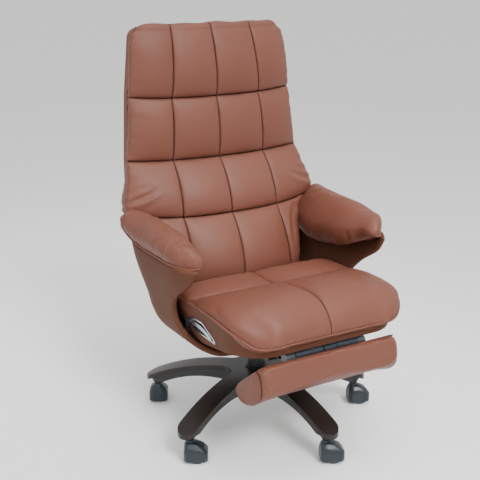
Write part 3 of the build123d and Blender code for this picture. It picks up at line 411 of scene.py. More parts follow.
class Shading:
    """One material's node tree, with the nodes that every finish shares."""

    def __init__(self, name: str) -> None:
        """Start an empty node material on Object coordinates."""
        self.material = bpy.data.materials.new(name)
        self.material.use_nodes = True
        self.tree = self.material.node_tree
        self.tree.nodes.clear()
        self.place = add_node(self.tree, "ShaderNodeTexCoord").outputs["Object"]

    def stretched(self, scale: Point) -> Socket:
        """Object coordinates scaled along each axis."""
        return add_node(self.tree, "ShaderNodeMapping", values={"Scale": scale},
                        links={"Vector": self.place}).outputs[0]

    def noise(self, scale: float, detail: float = 2.0,
              place: Socket | None = None) -> Socket:
        """Cloudy noise with so many features a metre."""
        return add_node(self.tree, "ShaderNodeTexNoise", values={"Scale": scale, "Detail": detail},
                        links={"Vector": self.place if place is None else place}).outputs["Fac"]

    def mixed(self, share: Socket, first: str, second: str) -> Socket:
        """Two sRGB hex colours blended by a socket."""
        return add_node(self.tree, "ShaderNodeMix", {"data_type": "RGBA"},
                        {6: to_linear(first), 7: to_linear(second)}, {0: share}).outputs[2]

    def between(self, share: Socket, low: float, high: float) -> Socket:
        """A value that runs from low to high as a socket runs from 0 to 1."""
        return add_node(self.tree, "ShaderNodeMapRange", values={"To Min": low, "To Max": high},
                        links={"Value": share}).outputs[0]

    def bump(self, height: Socket, strength: float,
             depth_mm: float) -> Socket:
        """Fine relief from a height socket."""
        return add_node(self.tree, "ShaderNodeBump",
                        values={"Strength": strength, "Distance": depth_mm * MM},
                        links={"Height": height}).outputs["Normal"]

    def finish(self, values: dict, links: dict) -> Material:
        """Close the tree with a principled shader and hand the material over."""
        shader = add_node(self.tree, "ShaderNodeBsdfPrincipled", values=values, links=links)
        add_node(self.tree, "ShaderNodeOutputMaterial", links={"Surface": shader.outputs[0]})
        return self.material


@dataclass(frozen=True)
class LeatherFinish:
    """Pigmented cowhide, corrected grain, rolled and plated: an even colour with a soft gloss."""

    name: str
    base: str
    worn: str                 # tone of the broad lighter patches
    thread_and_shade: str               # dark colour down in the seams: the seam line itself and painted shade in the groove
    roughness: float = 0.48
    specular: float = 0.28
    coat: float = 0.02        # the thin plated top coat
    grain_mm: float = 2.4     # pores, drawn coarser than the real 1 mm so that they show
    patch_mm: float = 160.0
    creases_per_m: float = 90.0
    seam_reach: tuple[float, float] = (0.45, 0.85)    # seam marks where the dark seam colour, partly painted shade, sets in

    def build(self) -> Material:
        """Build a leather with pores, faint creases and seams painted darker, partly as the seam
        line and partly as shade in the groove.
        """
        shading = Shading(self.name)
        tree = shading.tree
        tone = shading.mixed(shading.noise(1000 / self.patch_mm, 3.0), self.base, self.worn)
        # the seam marks mix in the dark seam colour: painted shade in the seam grooves, partly the
        # seam line itself
        seam = add_node(tree, "ShaderNodeAttribute", {"attribute_name": "seam"})
        depth = add_node(tree, "ShaderNodeMapRange", {"interpolation_type": "SMOOTHSTEP"},
                         {"From Min": self.seam_reach[0], "From Max": self.seam_reach[1]},
                         {"Value": seam.outputs["Fac"]})
        colour = add_node(tree, "ShaderNodeMix", {"data_type": "RGBA"},
                          {7: to_linear(self.thread_and_shade)}, {0: depth.outputs[0], 6: tone})
        pores = add_node(tree, "ShaderNodeTexVoronoi", values={"Scale": 1000 / self.grain_mm},
                         links={"Vector": shading.place})
        crease = shading.noise(self.creases_per_m, 4.0)
        height = add_node(tree, "ShaderNodeMath", {"operation": "MULTIPLY_ADD"}, {1: 0.5},
                          {0: crease, 2: pores.outputs["Distance"]})
        return shading.finish(
            {"IOR": 1.45, "Specular IOR Level": self.specular, "Coat Weight": self.coat,
             "Coat Roughness": 0.4},
            {"Base Color": colour.outputs[2],
             "Roughness": shading.between(crease, self.roughness - 0.05, self.roughness + 0.07),
             "Normal": shading.bump(height.outputs[0], 0.12, 0.4)})


@dataclass(frozen=True)
class MouldedFinish:
    """Injection-moulded nylon or ABS with a fine spark texture."""

    name: str
    base: str
    worn: str
    roughness: float = 0.4
    specular: float = 0.5
    texture_mm: float = 1.6   # spark texture, drawn coarser than the real 0.3 mm so that it shows
    clouds_per_m: float = 14.0

    def build(self) -> Material:
        """Build a moulded plastic with a slight texture and uneven gloss."""
        shading = Shading(self.name)
        cloud = shading.noise(self.clouds_per_m)
        return shading.finish(
            {"IOR": 1.53, "Specular IOR Level": self.specular},
            {"Base Color": shading.mixed(cloud, self.base, self.worn),
             "Roughness": shading.between(cloud, self.roughness - 0.06, self.roughness + 0.06),
             "Normal": shading.bump(shading.noise(1000 / self.texture_mm), 0.08, 0.2)})


@dataclass(frozen=True)
class MetalFinish:
    """Bare, plated or drawn metal with faint handling marks."""

    name: str
    base: str
    dull: str
    roughness: float
    streak: float = 1.0       # how far the marks are stretched along X
    marks_per_m: float = 320.0

    def build(self) -> Material:
        """Build a metal whose gloss varies with fine marks."""
        shading = Shading(self.name)
        marks = shading.noise(self.marks_per_m, 3.0, shading.stretched((1 / self.streak, 1, 1)))
        return shading.finish(
            {"Metallic": 1.0},
            {"Base Color": shading.mixed(marks, self.base, self.dull),
             "Roughness": shading.between(marks, self.roughness * 0.7, self.roughness * 1.5)})


@dataclass(frozen=True)
class PlyFinish:
    """Rotary-cut birch ply, raw: pale, with drawn-out grain."""

    name: str
    base: str
    grain: str
    grain_mm: float = 9.0
    drawn: float = 0.12       # how far the grain is drawn out along the sheet

    def build(self) -> Material:
        """Build a raw plywood with a shallow grain."""
        shading = Shading(self.name)
        lines = shading.noise(1000 / self.grain_mm, 5.0,
                              shading.stretched((1, self.drawn, self.drawn)))
        return shading.finish({"Roughness": 0.65},
                              {"Base Color": shading.mixed(lines, self.base, self.grain),
                               "Normal": shading.bump(lines, 0.15, 0.3)})


class Palette:
    """Every finish of the chair, built once.

    The leathers are about half as bright as the real hide: the view transform lifts dark colours
    beside a floor as pale as this one.
    """

    def __init__(self) -> None:
        """Build the finishes."""
        # even red-brown hide with a soft, wide highlight and fine pores
        self.leather = LeatherFinish(
            "plated_cowhide_brown", "#643B2E", "#6B4134", "#200D0A").build()
        # the same hide stretched over the shells and the side panel, in a darker copy that is
        # painted shade for these sides facing away from the lights: duller, almost no highlight
        self.side_leather = LeatherFinish(
            "plated_cowhide_brown_shaded_side", "#523225", "#5A392B", "#200D0A", 0.60, 0.08).build()
        # brownish black with a satin gloss along the legs' crowns
        self.base_moulding = MouldedFinish(
            "satin_nylon_bronze_black", "#1B1512", "#221A16", 0.36, 0.3).build()
        # dull black, as glass fibre leaves it
        self.frame_nylon = MouldedFinish(
            "glass_filled_nylon_black", "#141415", "#1A1A1B", 0.55).build()
        # blue-black hoods with a clear but broken gloss
        self.caster_nylon = MouldedFinish(
            "moulded_nylon_slate", "#171F25", "#20292F", 0.36, 0.4).build()
        # greyer and rubbed dull by the floor
        self.caster_tread = MouldedFinish("moulded_nylon_tread", "#262D33", "#30383F", 0.5).build()
        # dark slate leaves of the footrest's hinge
        self.hinge_plastic = MouldedFinish(
            "moulded_abs_slate_blue", "#171F28", "#202934", 0.38, 0.4).build()
        # bright mirror, softened by brushing before the plating
        self.chrome = MetalFinish("satin_chrome_plating", "#C6C8CC", "#AEB1B6", 0.2).build()
        # light steel with long drawing marks
        self.plain_steel = MetalFinish(
            "drawn_steel_bright", "#B9BBBD", "#8F9193", 0.28, 12.0).build()
        # mid grey with the glassy skin of stoved enamel
        self.tube_enamel = MouldedFinish("stoved_enamel_grey", "#3A3E42", "#44484C", 0.3).build()
        # black with the faint orange peel of powder coat
        self.black_enamel = MouldedFinish("powder_coat_black", "#1B1C1D", "#242526", 0.42).build()
        # pale raw wood, seen only from below and behind
        self.plywood = PlyFinish("raw_birch_ply", "#C9A878", "#A9835A").build()


# ---- soft goods ----
@dataclass(frozen=True)
class Fold:
    """A crease pressed into the cover: its line in space, its depth and its half width."""

    line: tuple[Point, ...]
    depth: float
    width: float

    def press(self, co: Array, out: Array) -> Array:
        """Move points in under the crease and up beside it, fading at its two ends.

        Args:
            co: The cover's points.
            out: The outward direction at each.

        Returns:
            The moved points.
        """
        best = np.full(len(co), 9.0)
        place = np.zeros(len(co))
        knots = np.array(self.line)
        spans = len(knots) - 1
        for k in range(spans):
            run = knots[k + 1] - knots[k]
            t = unit((co - knots[k]) @ run / (run @ run))
            gap = np.linalg.norm(co - knots[k] - t[:, None] * run, axis=1)
            nearer = gap < best
            best = np.where(nearer, gap, best)
            place = np.where(nearer, (k + t) / spans, place)
        fade = unit(np.sin(np.pi * place)) ** 0.5
        reach = best / self.width
        wave = np.exp(-reach**2) - 0.55 * np.exp(-((reach - 2.1) ** 2))
        return co - out * (self.depth * fade * wave)[:, None]


def folded(rows: Sequence[tuple], flip: Point) -> list[Fold]:
    """Turn rows of line, depth and half width into creases, mirrored where flip says so."""
    return [Fold(tuple(tuple(np.array(point) * flip) for point in line), depth, width)
            for line, depth, width in rows]


def press_folds(piece: Piece, folds: Sequence[Fold]) -> None:
    """Press a set of creases into a finished cover."""
    co = places(piece)
    out = normals(piece)
    for fold in folds:
        co = fold.press(co, out)
    put(piece, co)


@dataclass(frozen=True)
class BackCushion:
    """The high back, sewn in four rows of four fields, with its sides wrapped to the rear.

    Its tuples run from the foot up, one value for each cross seam, unless a comment says more.
    """

    seam_z: Row = (0.428, 0.632, 0.776, 0.956, 1.138)
    seam_y: Row = (0.066, 0.146, 0.217, 0.233, 0.268)     # at the middle
    side_y: Row = (0.098, 0.190, 0.246, 0.262, 0.283)     # at the side edges
    rear_y: Row = (0.188, 0.2405, 0.277, 0.2875, 0.2985)
    sag: Row = (0.0, 0.019, 0.007, 0.009, 0.0)      # seams hang lower at the middle
    half_at: Row = (                                # row coordinates of half
        0.0, 0.60, 0.86, 0.955, 1.0, 1.28, 1.37, 1.62, 2.0, 2.22, 2.58, 3.0, 3.43, 3.80, 3.95, 4.0)
    half: Row = (                                   # half the width
        0.214, 0.238, 0.262, 0.300, 0.322, 0.317, 0.312, 0.298, 0.288, 0.281, 0.275, 0.270, 0.264,
        0.257, 0.248, 0.238)
    field: Row = (0.160, 0.160, 0.154, 0.146, 0.132)      # x of the outer seams
    midline: float = -0.003
    skew: float = 0.018             # how far the left seam of the lowest row runs outwards
    row_puff: Row = (0.023, 0.019, 0.013, 0.021)    # one for each row
    crown: float = 0.013
    row_steps: tuple[int, ...] = (26, 22, 22, 24)
    field_steps: tuple[int, ...] = (20, 20, 20, 20)
    ease: float = 0.75
    wrap_steps: int = 7
    rear_inset: float = 0.011       # how far the rear edge stands in from the side
    flank_bulge: float = 0.003
    roll: float = 0.018             # height of the roll over the top
    roll_deg: Row = (18, 36, 54, 72, 90, 108, 126, 144, 160)
    roll_seams: int = 4             # rings of the roll that the upright seams run on over
    roll_narrows: float = 0.03
    top_corner: float = 0.034
    tuck: float = 0.006             # depth of the turn under the foot
    tuck_deg: Row = (20, 42, 64, 80, 90)
    ripple_long: float = 0.021      # gathers along the side edges
    ripple_deep: float = 0.0012
    held_rows: int = 20             # rows next to the roll that the filling may not lift,
    easing_rows: int = 10           # and how many of them ease that in
    filling: Filling = Filling(pressure=2.6, slack=0.006, cap=6 * MM)

    def along(self, rows: Array, values: Sequence[float]) -> Array:
        """Read one of the seams' measures at each row coordinate."""
        return np.interp(rows, np.arange(len(self.seam_z)), values)

    def swelling(self, rows: Array) -> ArrayPair:
        """How far each row coordinate stands out, and its share of the full swell."""
        last = len(self.row_puff) - 1
        k = np.clip(rows.astype(int), 0, last)
        b = rows - k
        rise = puff(b, 0.7)
        head = 1 - 0.55 * np.clip(2 * b - 1, 0, None) ** 2.5      # the top row stays full up high
        rise = np.where((k == last) & (b > 0.5), head, rise)
        return np.array(self.row_puff)[k] * rise, rise ** 0.7

    def front(self, rows: Array, fields: Array) -> Array:
        """Lay out the padded front.

        Args:
            rows: Row coordinates, 0 to 4 from the foot up.
            fields: Field coordinates, 0 to 4 from the sitter's right.

        Returns:
            The front's points.
        """
        half = np.interp(rows, self.half_at, self.half)
        lift, swell = self.swelling(rows)
        skew = self.skew * unit(1 - rows)
        x = np.stack([np.interp(fields, range(5), (-w, -f, self.midline, f + e, w))
                      for w, f, e in zip(half, self.along(rows, self.field), skew)])
        share = np.abs(x) / half[:, None]
        seam_y, side_y = (self.along(rows, v)[:, None] for v in (self.seam_y, self.side_y))
        pad = self.crown * puff(fields - np.clip(fields.astype(int), 0, 3), 0.5)[None]
        y = seam_y + (side_y - seam_y) * share**2.2
        y = y - lift[:, None] * (1 - 0.5 * share**3) - pad * swell[:, None]
        drop = self.along(rows, self.sag)[:, None] * (1 - share**3)
        return np.stack((x, y - 0.4 * drop, self.along(rows, self.seam_z)[:, None] - drop), 2)

    def wrapped(self, front: Array, rows: Array) -> Array:
        """Add the flanks that turn from the front's side edges to the rear."""
        turn = np.linspace(0, 1, self.wrap_steps + 1)[1:-1]
        half = np.interp(rows, self.half_at, self.half) - self.rear_inset
        swell = self.swelling(rows)[1]
        bulge = self.flank_bulge * np.sin(np.pi * turn)[None] * (0.4 + 0.6 * swell)[:, None]
        flanks = []
        for side in Side:
            edge = front[:, 0 if side is Side.RIGHT else -1]
            rear = np.stack((side.value * half, self.along(rows, self.rear_y),
                             self.along(rows, self.seam_z)), 1)
            flank = edge[:, None] * (1 - turn)[None, :, None] + rear[:, None] * turn[None, :, None]
            flank[:, :, 0] += side.value * bulge
            flanks.append(flank)
        return np.concatenate((flanks[0][:, ::-1], front, flanks[1]), 1)

    @staticmethod
    def turned_back(edge: Array, rear_y: float, degrees: Sequence[float],
                    tall: float | Array, narrows: float) -> Array:
        """Carry an edge round to the rear.

        Args:
            edge: The sheet's first or last row.
            rear_y: Where it ends.
            degrees: Angle of each ring, rising.
            tall: Height of the turn, negative where it goes under.
            narrows: Share by which the last ring is narrower.

        Returns:
            One ring for each angle.
        """
        rings = []
        angles = np.radians(degrees)
        for angle in angles:
            ring = edge.copy()
            retreat = (1 - math.cos(angle)) / (1 - math.cos(angles[-1]))
            ring[:, 1] += (rear_y - ring[:, 1]) * retreat
            ring[:, 2] += tall * math.sin(angle)
            ring[:, 0] *= 1 - narrows * retreat
            rings.append(ring)
        return np.stack(rings)

    def seams(self, rows: Array, fields: Array) -> Array:
        """Seam marks of the whole seen sheet: 1 on the rows' and the fields' seams, else 0."""
        tuck, roll = len(self.tuck_deg), len(self.roll_deg)
        on_row = np.pad(np.isin(np.round(rows, 6), (0, 1, 2, 3)), (tuck, roll))
        on_field = np.pad(np.isin(np.round(fields, 6), (1, 2, 3)), self.wrap_steps - 1)
        upright = np.pad(np.ones(len(rows) + self.roll_seams, bool), (tuck, roll - self.roll_seams))
        return (on_row[:, None] | (on_field[None] & upright[:, None])).astype(float)

    def sheets(self) -> tuple[Array, Array, Array]:
        """Lay out the seen sheet, the rear sheet and the seam marks.

        Returns:
            Outer points, inner points and one seam mark for each outer point.
        """
        rows, fields = eased(self.row_steps, self.ease), eased(self.field_steps, self.ease)
        outer = self.wrapped(self.front(rows, fields), rows)
        self.pucker(outer)
        aside = np.abs(outer[-1, :, 0])
        corner = unit((aside - aside.max() + self.top_corner) / self.top_corner)
        tall = self.roll * np.sqrt(1 - corner**2)
        roll = self.turned_back(outer[-1], self.rear_y[-1], self.roll_deg, tall, self.roll_narrows)
        tuck = self.turned_back(outer[0], self.rear_y[0], self.tuck_deg, -self.tuck, 0.0)
        outer = np.concatenate((tuck[::-1], outer, roll))
        inner = outer.copy()
        first, last = outer[:, :1, 0], outer[:, -1:, 0]
        inner[:, :, 0] = first + (last - first) * np.linspace(0, 1, outer.shape[1])[None]
        inner[:, :, 2] = outer[:, :1, 2]
        inner[:, :, 1] = np.interp(inner[:, :, 2], self.seam_z, self.rear_y)
        return outer, inner, self.seams(rows, fields)

    def pucker(self, outer: Array) -> None:
        """Gather the cover in small uneven ripples along its two side edges and its top."""
        rng = np.random.default_rng(SEED)
        z = outer[:, 0, 2]
        for sign in (-1, 1):
            steps = rng.uniform(0.7, 1.3, len(z)) * np.gradient(z)
            phase = np.cumsum(steps) * 2 * math.pi / self.ripple_long
            swing = (np.sin(phase) + 0.6 * np.sin(phase * 0.53 + 1.0)) * self.ripple_deep
            reach = np.abs(outer[:, :, 0] * sign / np.abs(outer[:, :, 0]).max(1)[:, None] - 1)
            near = np.exp(-(reach / 0.10) ** 2) * (outer[:, :, 0] * sign > 0)
            outer[:, :, 0] += sign * near * swing[:, None]
            outer[:, :, 1] += near * swing[::-1][:, None]
        x = outer[-1, :, 0]
        outer[-1, :, 2] += 0.0014 * np.sin(x / 0.017) + 0.001 * np.sin(x / 0.031 + 0.7)

    def folds(self) -> list[Fold]:
        """The creases at the outer fields over and beside the arms."""
        rows = (
            (((0.318, 0.196, 0.664), (0.270, 0.176, 0.684), (0.215, 0.160, 0.712)), 0.0040, 0.008),
            (((0.318, 0.205, 0.690), (0.275, 0.188, 0.702), (0.240, 0.178, 0.716)), 0.0030, 0.007),
            (((0.310, 0.214, 0.722), (0.270, 0.198, 0.738)), 0.0018, 0.007),
            (((0.236, 0.152, 0.618), (0.204, 0.120, 0.574), (0.190, 0.090, 0.500)), 0.0022, 0.007),
            (((0.262, 0.262, 0.905), (0.225, 0.250, 0.915)), 0.0012, 0.006),
            (((0.262, 0.262, 0.860), (0.230, 0.250, 0.866)), 0.0012, 0.006),
        )
        return folded(rows, (1, 1, 1)) + folded(rows, (-1, 1, 1))

    def build(self, palette: Palette) -> None:
        """Model, fill and sew the cushion."""
        outer, inner, seam = self.sheets()
        past = np.arange(len(seam)) - (len(seam) - self.held_rows)
        held = np.maximum(seam, unit(past / self.easing_rows)[:, None])
        piece = sew("back_cushion_sewn", (outer, inner), seam, held, self.filling)
        draw_in(piece, 4.6 * MM, 0.3)
        press_folds(piece, self.folds())
        hand_over(piece, "back", palette.leather, ("back_cushion",))


@dataclass(frozen=True)
class SeatCushion:
    """The seat: four crowned fields, a waterfall front and a piped edge."""

    half: float = 0.270
    rear_y: float = 0.044
    front_y: float = -0.368
    corner: float = 0.088
    seam_line: Pairs = (      # y forward and z of the piping
        (-0.044, 0.4475), (0.250, 0.4475), (0.290, 0.4435), (0.322, 0.4325), (0.345, 0.4175),
        (0.358, 0.4045), (0.368, 0.3985))
    foot_z: float = 0.383
    cross_seam: float = 0.335       # share of the way forward along the middle
    middle: Pairs = (
        (0.044, 0.444), (0.030, 0.452), (-0.008, 0.456), (-0.050, 0.456), (-0.092, 0.458),
        (-0.129, 0.469), (-0.177, 0.478), (-0.230, 0.484), (-0.280, 0.484), (-0.320, 0.475),
        (-0.345, 0.458), (-0.360, 0.436), (-0.369, 0.412), (-0.368, 0.399))
    crown: float = 0.010
    bulge: float = 0.019            # how far the cover stands out over its piping,
    bulge_from: float = 0.74        # from which share of the way across,
    bulge_to: float = 0.26          # over what share of it,
    bulge_y: float = -0.16          # and away from this place on the middle
    shoulder: tuple[float, float] = (3.4, 1.6)      # how square: at the rear, and gained forward
    shoulder_long: float = 0.45     # share of the way forward over which it is gained
    bow: float = 2.6                # how squarely the cross seam meets the sides
    front_from: float = 0.86        # share of the way forward where the crowns face the front
    steps: tuple[int, int] = (26, 34)
    field_steps: int = 36
    ease: float = 0.45
    lap_shadow: float = 0.075              # width of the painted shadow behind the cross seam, in row coordinates of its field
    rear_draw: float = 0.028        # how far the side edge draws in at the rear corner
    foot_share: tuple[float, float] = (0.90, 0.93)      # how much narrower and shorter the foot is
    cord: float = 0.0032
    cord_out: float = 0.0015        # how far the cord stands out from the rim
    filling: Filling = Filling(pressure=3.5, slack=0.012, cap=9 * MM)

    def rim(self, share: Array) -> Array:
        """Piping line along the sitter's left side, from the rear round to the front's middle.

        Args:
            share: 0 at the rear corner, 1 where the front edge runs straight.

        Returns:
            One point for each share.
        """
        straight = self.rear_y - (self.front_y + self.corner)
        bend = self.corner * math.pi / 2
        run = share * (straight + bend)
        angle = np.clip((run - straight) / self.corner, 0, math.pi / 2)
        x = self.half - self.corner + self.corner * np.cos(angle)
        y = np.where(run < straight, self.rear_y - run, self.front_y + self.corner
                     - self.corner * np.sin(angle))
        seam = np.array(self.seam_line)
        z = through(-y, seam[:, 0], seam[:, 1])
        draw = self.rear_draw * unit(1 - share / 0.12) ** 2
        return np.stack((x - draw, y, z), 1)

    def sheets(self) -> tuple[Array, Array, Array]:
        """Lay out the crowned top, the foot behind it and the seam marks.

        Returns:
            Outer points, inner points and one seam weight for each outer point.
        """
        rows = eased(self.steps)
        share = np.where(rows < 1, rows * self.cross_seam,
                         self.cross_seam + (rows - 1) * (1 - self.cross_seam))
        mid_y, mid_z = along_line(share, self.middle)
        rim = self.rim(unit(share**1.14))
        fields = eased((self.field_steps, self.field_steps), self.ease)
        across = fields - 1
        s = np.abs(across)[None]
        b = np.where(rows < 1, rows, rows - 1)[:, None]
        square = self.shoulder[0] + self.shoulder[1] * unit(share / self.shoulder_long)[:, None]
        over = self.bulge * np.sin(np.pi * unit((s - self.bulge_from) / self.bulge_to))
        away = rim[:, :2] - np.array((0, self.bulge_y))
        away /= np.linalg.norm(away, axis=1)[:, None]
        blunt = np.clip((1 - share) / 0.2, 0.25, 1)[:, None] * unit(share / 0.1)[:, None]
        x = np.sign(across)[None] * (rim[:, 0][:, None] * s + over * away[:, :1] * blunt)
        bow = s**self.bow
        y = mid_y[:, None] * (1 - bow) + rim[:, 1][:, None] * bow + over * away[:, 1:] * blunt
        z = rim[:, 2][:, None] + (mid_z - rim[:, 2])[:, None] * (1 - s**square)
        a = np.where(fields < 1, fields, fields - 1)[None]
        lift = self.crown * puff(a, 0.5) * puff(b, 0.5)
        face_on = unit((share - self.front_from) / 0.14)[:, None]
        outer = np.stack((x * np.ones_like(y), y - lift * face_on, z + lift * (1 - face_on)), 2)
        inner = outer.copy()
        middle_y = (self.rear_y + self.front_y) / 2
        inner[:, :, 0] = np.sign(across)[None] * rim[:, 0][:, None] * s * self.foot_share[0]
        inner[:, :, 1] = middle_y + (inner[:, :, 1] - middle_y) * self.foot_share[1]
        inner[:, :, 1] = np.minimum(inner[:, :, 1], self.rear_y - 0.004)
        inner[:, :, 2] = self.foot_z
        ends = np.abs(across) > 0.999
        on_cross = np.isclose(rows, 1)
        on_middle = np.isclose(fields, 1)
        seam = ((on_cross[:, None] | on_middle[None]) & ~ends[None]).astype(float)
        behind = unit(1 - (1 - rows) / self.lap_shadow) * (rows < 1)    # painted shadow on the rear side of the cross seam, which also draws the cover in there
        seam = np.maximum(seam, (0.9 * behind)[:, None] * ~ends[None])
        return outer, inner, seam

    def build(self, palette: Palette) -> None:
        """Model, fill and sew the cushion and lay its piping."""
        outer, inner, seam = self.sheets()
        edge = np.zeros(seam.shape)
        edge[0], edge[-1], edge[:, 0], edge[:, -1] = 1, 1, 1, 1
        piece = sew("seat_cushion_sewn", (outer, inner), seam, np.maximum(seam > 0.95, edge),
                    self.filling)
        draw_in(piece, 3.8 * MM, 0.4)
        hand_over(piece, "seat", palette.leather, ("seat_cushion",))
        line = np.concatenate((outer[2:, -1], outer[-1, -2:0:-1], outer[:1:-1, 0]))
        away = line - np.array((0, (self.rear_y + self.front_y) / 2, 0.44))
        away[:, 2] = 0
        line = line + away / np.linalg.norm(away, axis=1)[:, None] * self.cord_out
        cord = piping("seat_piping", line, self.cord)
        hand_over(cord, "seat", palette.leather)


@dataclass(frozen=True)
class ArmShape:
    """The C-shaped arm: its path in front view and how far it reaches forward and back."""

    x: Row = (0.1375, 0.176, 0.222, 0.262, 0.286, 0.300, 0.317, 0.333, 0.343)
    z: Row = (0.299, 0.296, 0.302, 0.326, 0.368, 0.418, 0.468, 0.522, 0.574)
    front_y: Row = (
        -0.156, -0.154, -0.140, -0.098, -0.058, -0.053, -0.092, -0.168, -0.205)
    rear_y: Row = (0.086, 0.096, 0.118, 0.146, 0.172, 0.196, 0.214, 0.228, 0.238)
    turn_in: Row = (0.002, 0.003, 0.006, 0.014, 0.030, 0.048, 0.062, 0.072, 0.078)
    nose: Row = (0.0005,) * 5 + (0.001, 0.006, 0.023, 0.040)      # turned in there
    nose_long: float = 0.084
    nod: float = 0.013              # how far the lip dips at its nose
    bend_y: float = 0.062           # where the rear part starts to turn in
    wall: float = 0.016

    def inward(self, y: Array, number: Array) -> Array:
        """How far the shell has turned in at each y, on the given stations."""
        front, rear, turn, nose = (through(number, np.arange(len(self.x)), v) for v in
                                   (self.front_y, self.rear_y, self.turn_in, self.nose))
        span = rear - self.bend_y
        radius = span / np.sin(2 * np.arctan(turn / span))
        past = np.clip(y - self.bend_y, 0, None)
        ahead = np.clip(front + self.nose_long - y, 0, None) / self.nose_long
        bent = radius - np.sqrt(np.clip(radius**2 - past**2, 0, None))
        return bent + nose * ahead**2

    def dip(self, y: Array, number: Array) -> Array:
        """How far the shell has dipped towards its nose at each y, on the given stations."""
        front = through(number, np.arange(len(self.x)), self.front_y)
        ahead = np.clip(front + self.nose_long - y, 0, None) / self.nose_long
        return self.nod * np.clip(number - 6, 0, 2) / 2 * ahead**2

    def at(self, share: Array, y: Array) -> Array:
        """Points of the shell's path, front to rear.

        Args:
            share: Place along the C, 0 under the seat to 8 at the armrest, one a row.
            y: Rows by columns of places along the chair.

        Returns:
            Rows by columns by 3, on the shell's outer face.
        """
        number = np.arange(len(self.x))
        x, z = through(share, number, self.x), through(share, number, self.z)
        along = np.stack((np.gradient(x), np.gradient(z)), 1)
        along /= np.linalg.norm(along, axis=1)[:, None]
        inward = self.inward(y, share[:, None])
        out_x, out_z = along[:, 1][:, None], -along[:, 0][:, None]
        return np.stack((x[:, None] - inward * out_x, y,
                         z[:, None] - inward * out_z - self.dip(y, share[:, None])), 2)


def outward_of(sheet: Array) -> Array:
    """Unit normals of a sheet of points, by rows of x, y, z."""
    down = np.gradient(sheet, axis=0)
    side = np.gradient(sheet, axis=1)
    cross = np.cross(side, down)
    return cross / np.maximum(np.linalg.norm(cross, axis=2), 1e-12)[:, :, None]


@dataclass(frozen=True)
class ArmShell:
    """Leather-wrapped shell from under the seat up to the armrest, with rolled edges."""

    shape: ArmShape = ArmShape()
    rows: int = 60
    columns: int = 40
    edge_steps: Row = (0.0, 0.0006, 0.0018, 0.0036, 0.0058, 0.0085)

    def sheets(self) -> ArrayPair:
        """Lay out the outer and the inner face for the sitter's left, with rounded edges."""
        shape = self.shape
        number = np.arange(len(shape.x))
        step = math.hypot(shape.x[-1] - shape.x[-2], shape.z[-1] - shape.z[-2])
        top = 8 - np.array(self.edge_steps)[::-1] / step
        share = np.r_[np.linspace(0, top[0] - 0.1, self.rows), top]
        front, rear = through(share, number, shape.front_y), through(share, number, shape.rear_y)
        t = np.linspace(0, 1, self.columns)[1:-1]
        steps = np.array(self.edge_steps)
        long = (rear - front)[:, None]
        inside = steps[-1] + t[None] * (long - 2 * steps[-1])
        reach = np.concatenate((np.repeat(steps[None], len(share), 0), inside,
                                long - steps[::-1][None]), 1)
        face = shape.at(share, front[:, None] + reach)
        out = outward_of(face)
        out *= np.sign(out[:, :, :1].mean())
        half = shape.wall / 2
        along = np.minimum(reach, long - reach)
        down = np.r_[(8 - share) * step][:, None]
        near = unit(np.minimum(along, down) / half)
        soft = np.clip(np.sqrt(1 - (1 - near) ** 2), 0.16, 1)[:, :, None]
        middle = face - out * half
        return middle + out * half * soft, middle - out * half * soft

    def build(self, side: Side, palette: Palette) -> None:
        """Model one shell."""
        name = "arm_shell_" + side.name.lower()
        flip = np.array((side.value, 1, 1))
        outer, inner = self.sheets()
        piece = from_sheets(name + "_wrapped", outer * flip, inner * flip)
        mark(piece, "seam", np.zeros(len(piece.data.vertices)))
        refine(piece)
        # the shells take the darker copy of the leather: painted shade
        hand_over(piece, "back", palette.side_leather, (name,))


def dome(share: float, power: float, least: float) -> float:
    """How full a rounded end is, from its tip at 0 to its full section at 1."""
    return max((1 - (1 - unit(share)) ** power) ** (1 / power), least)


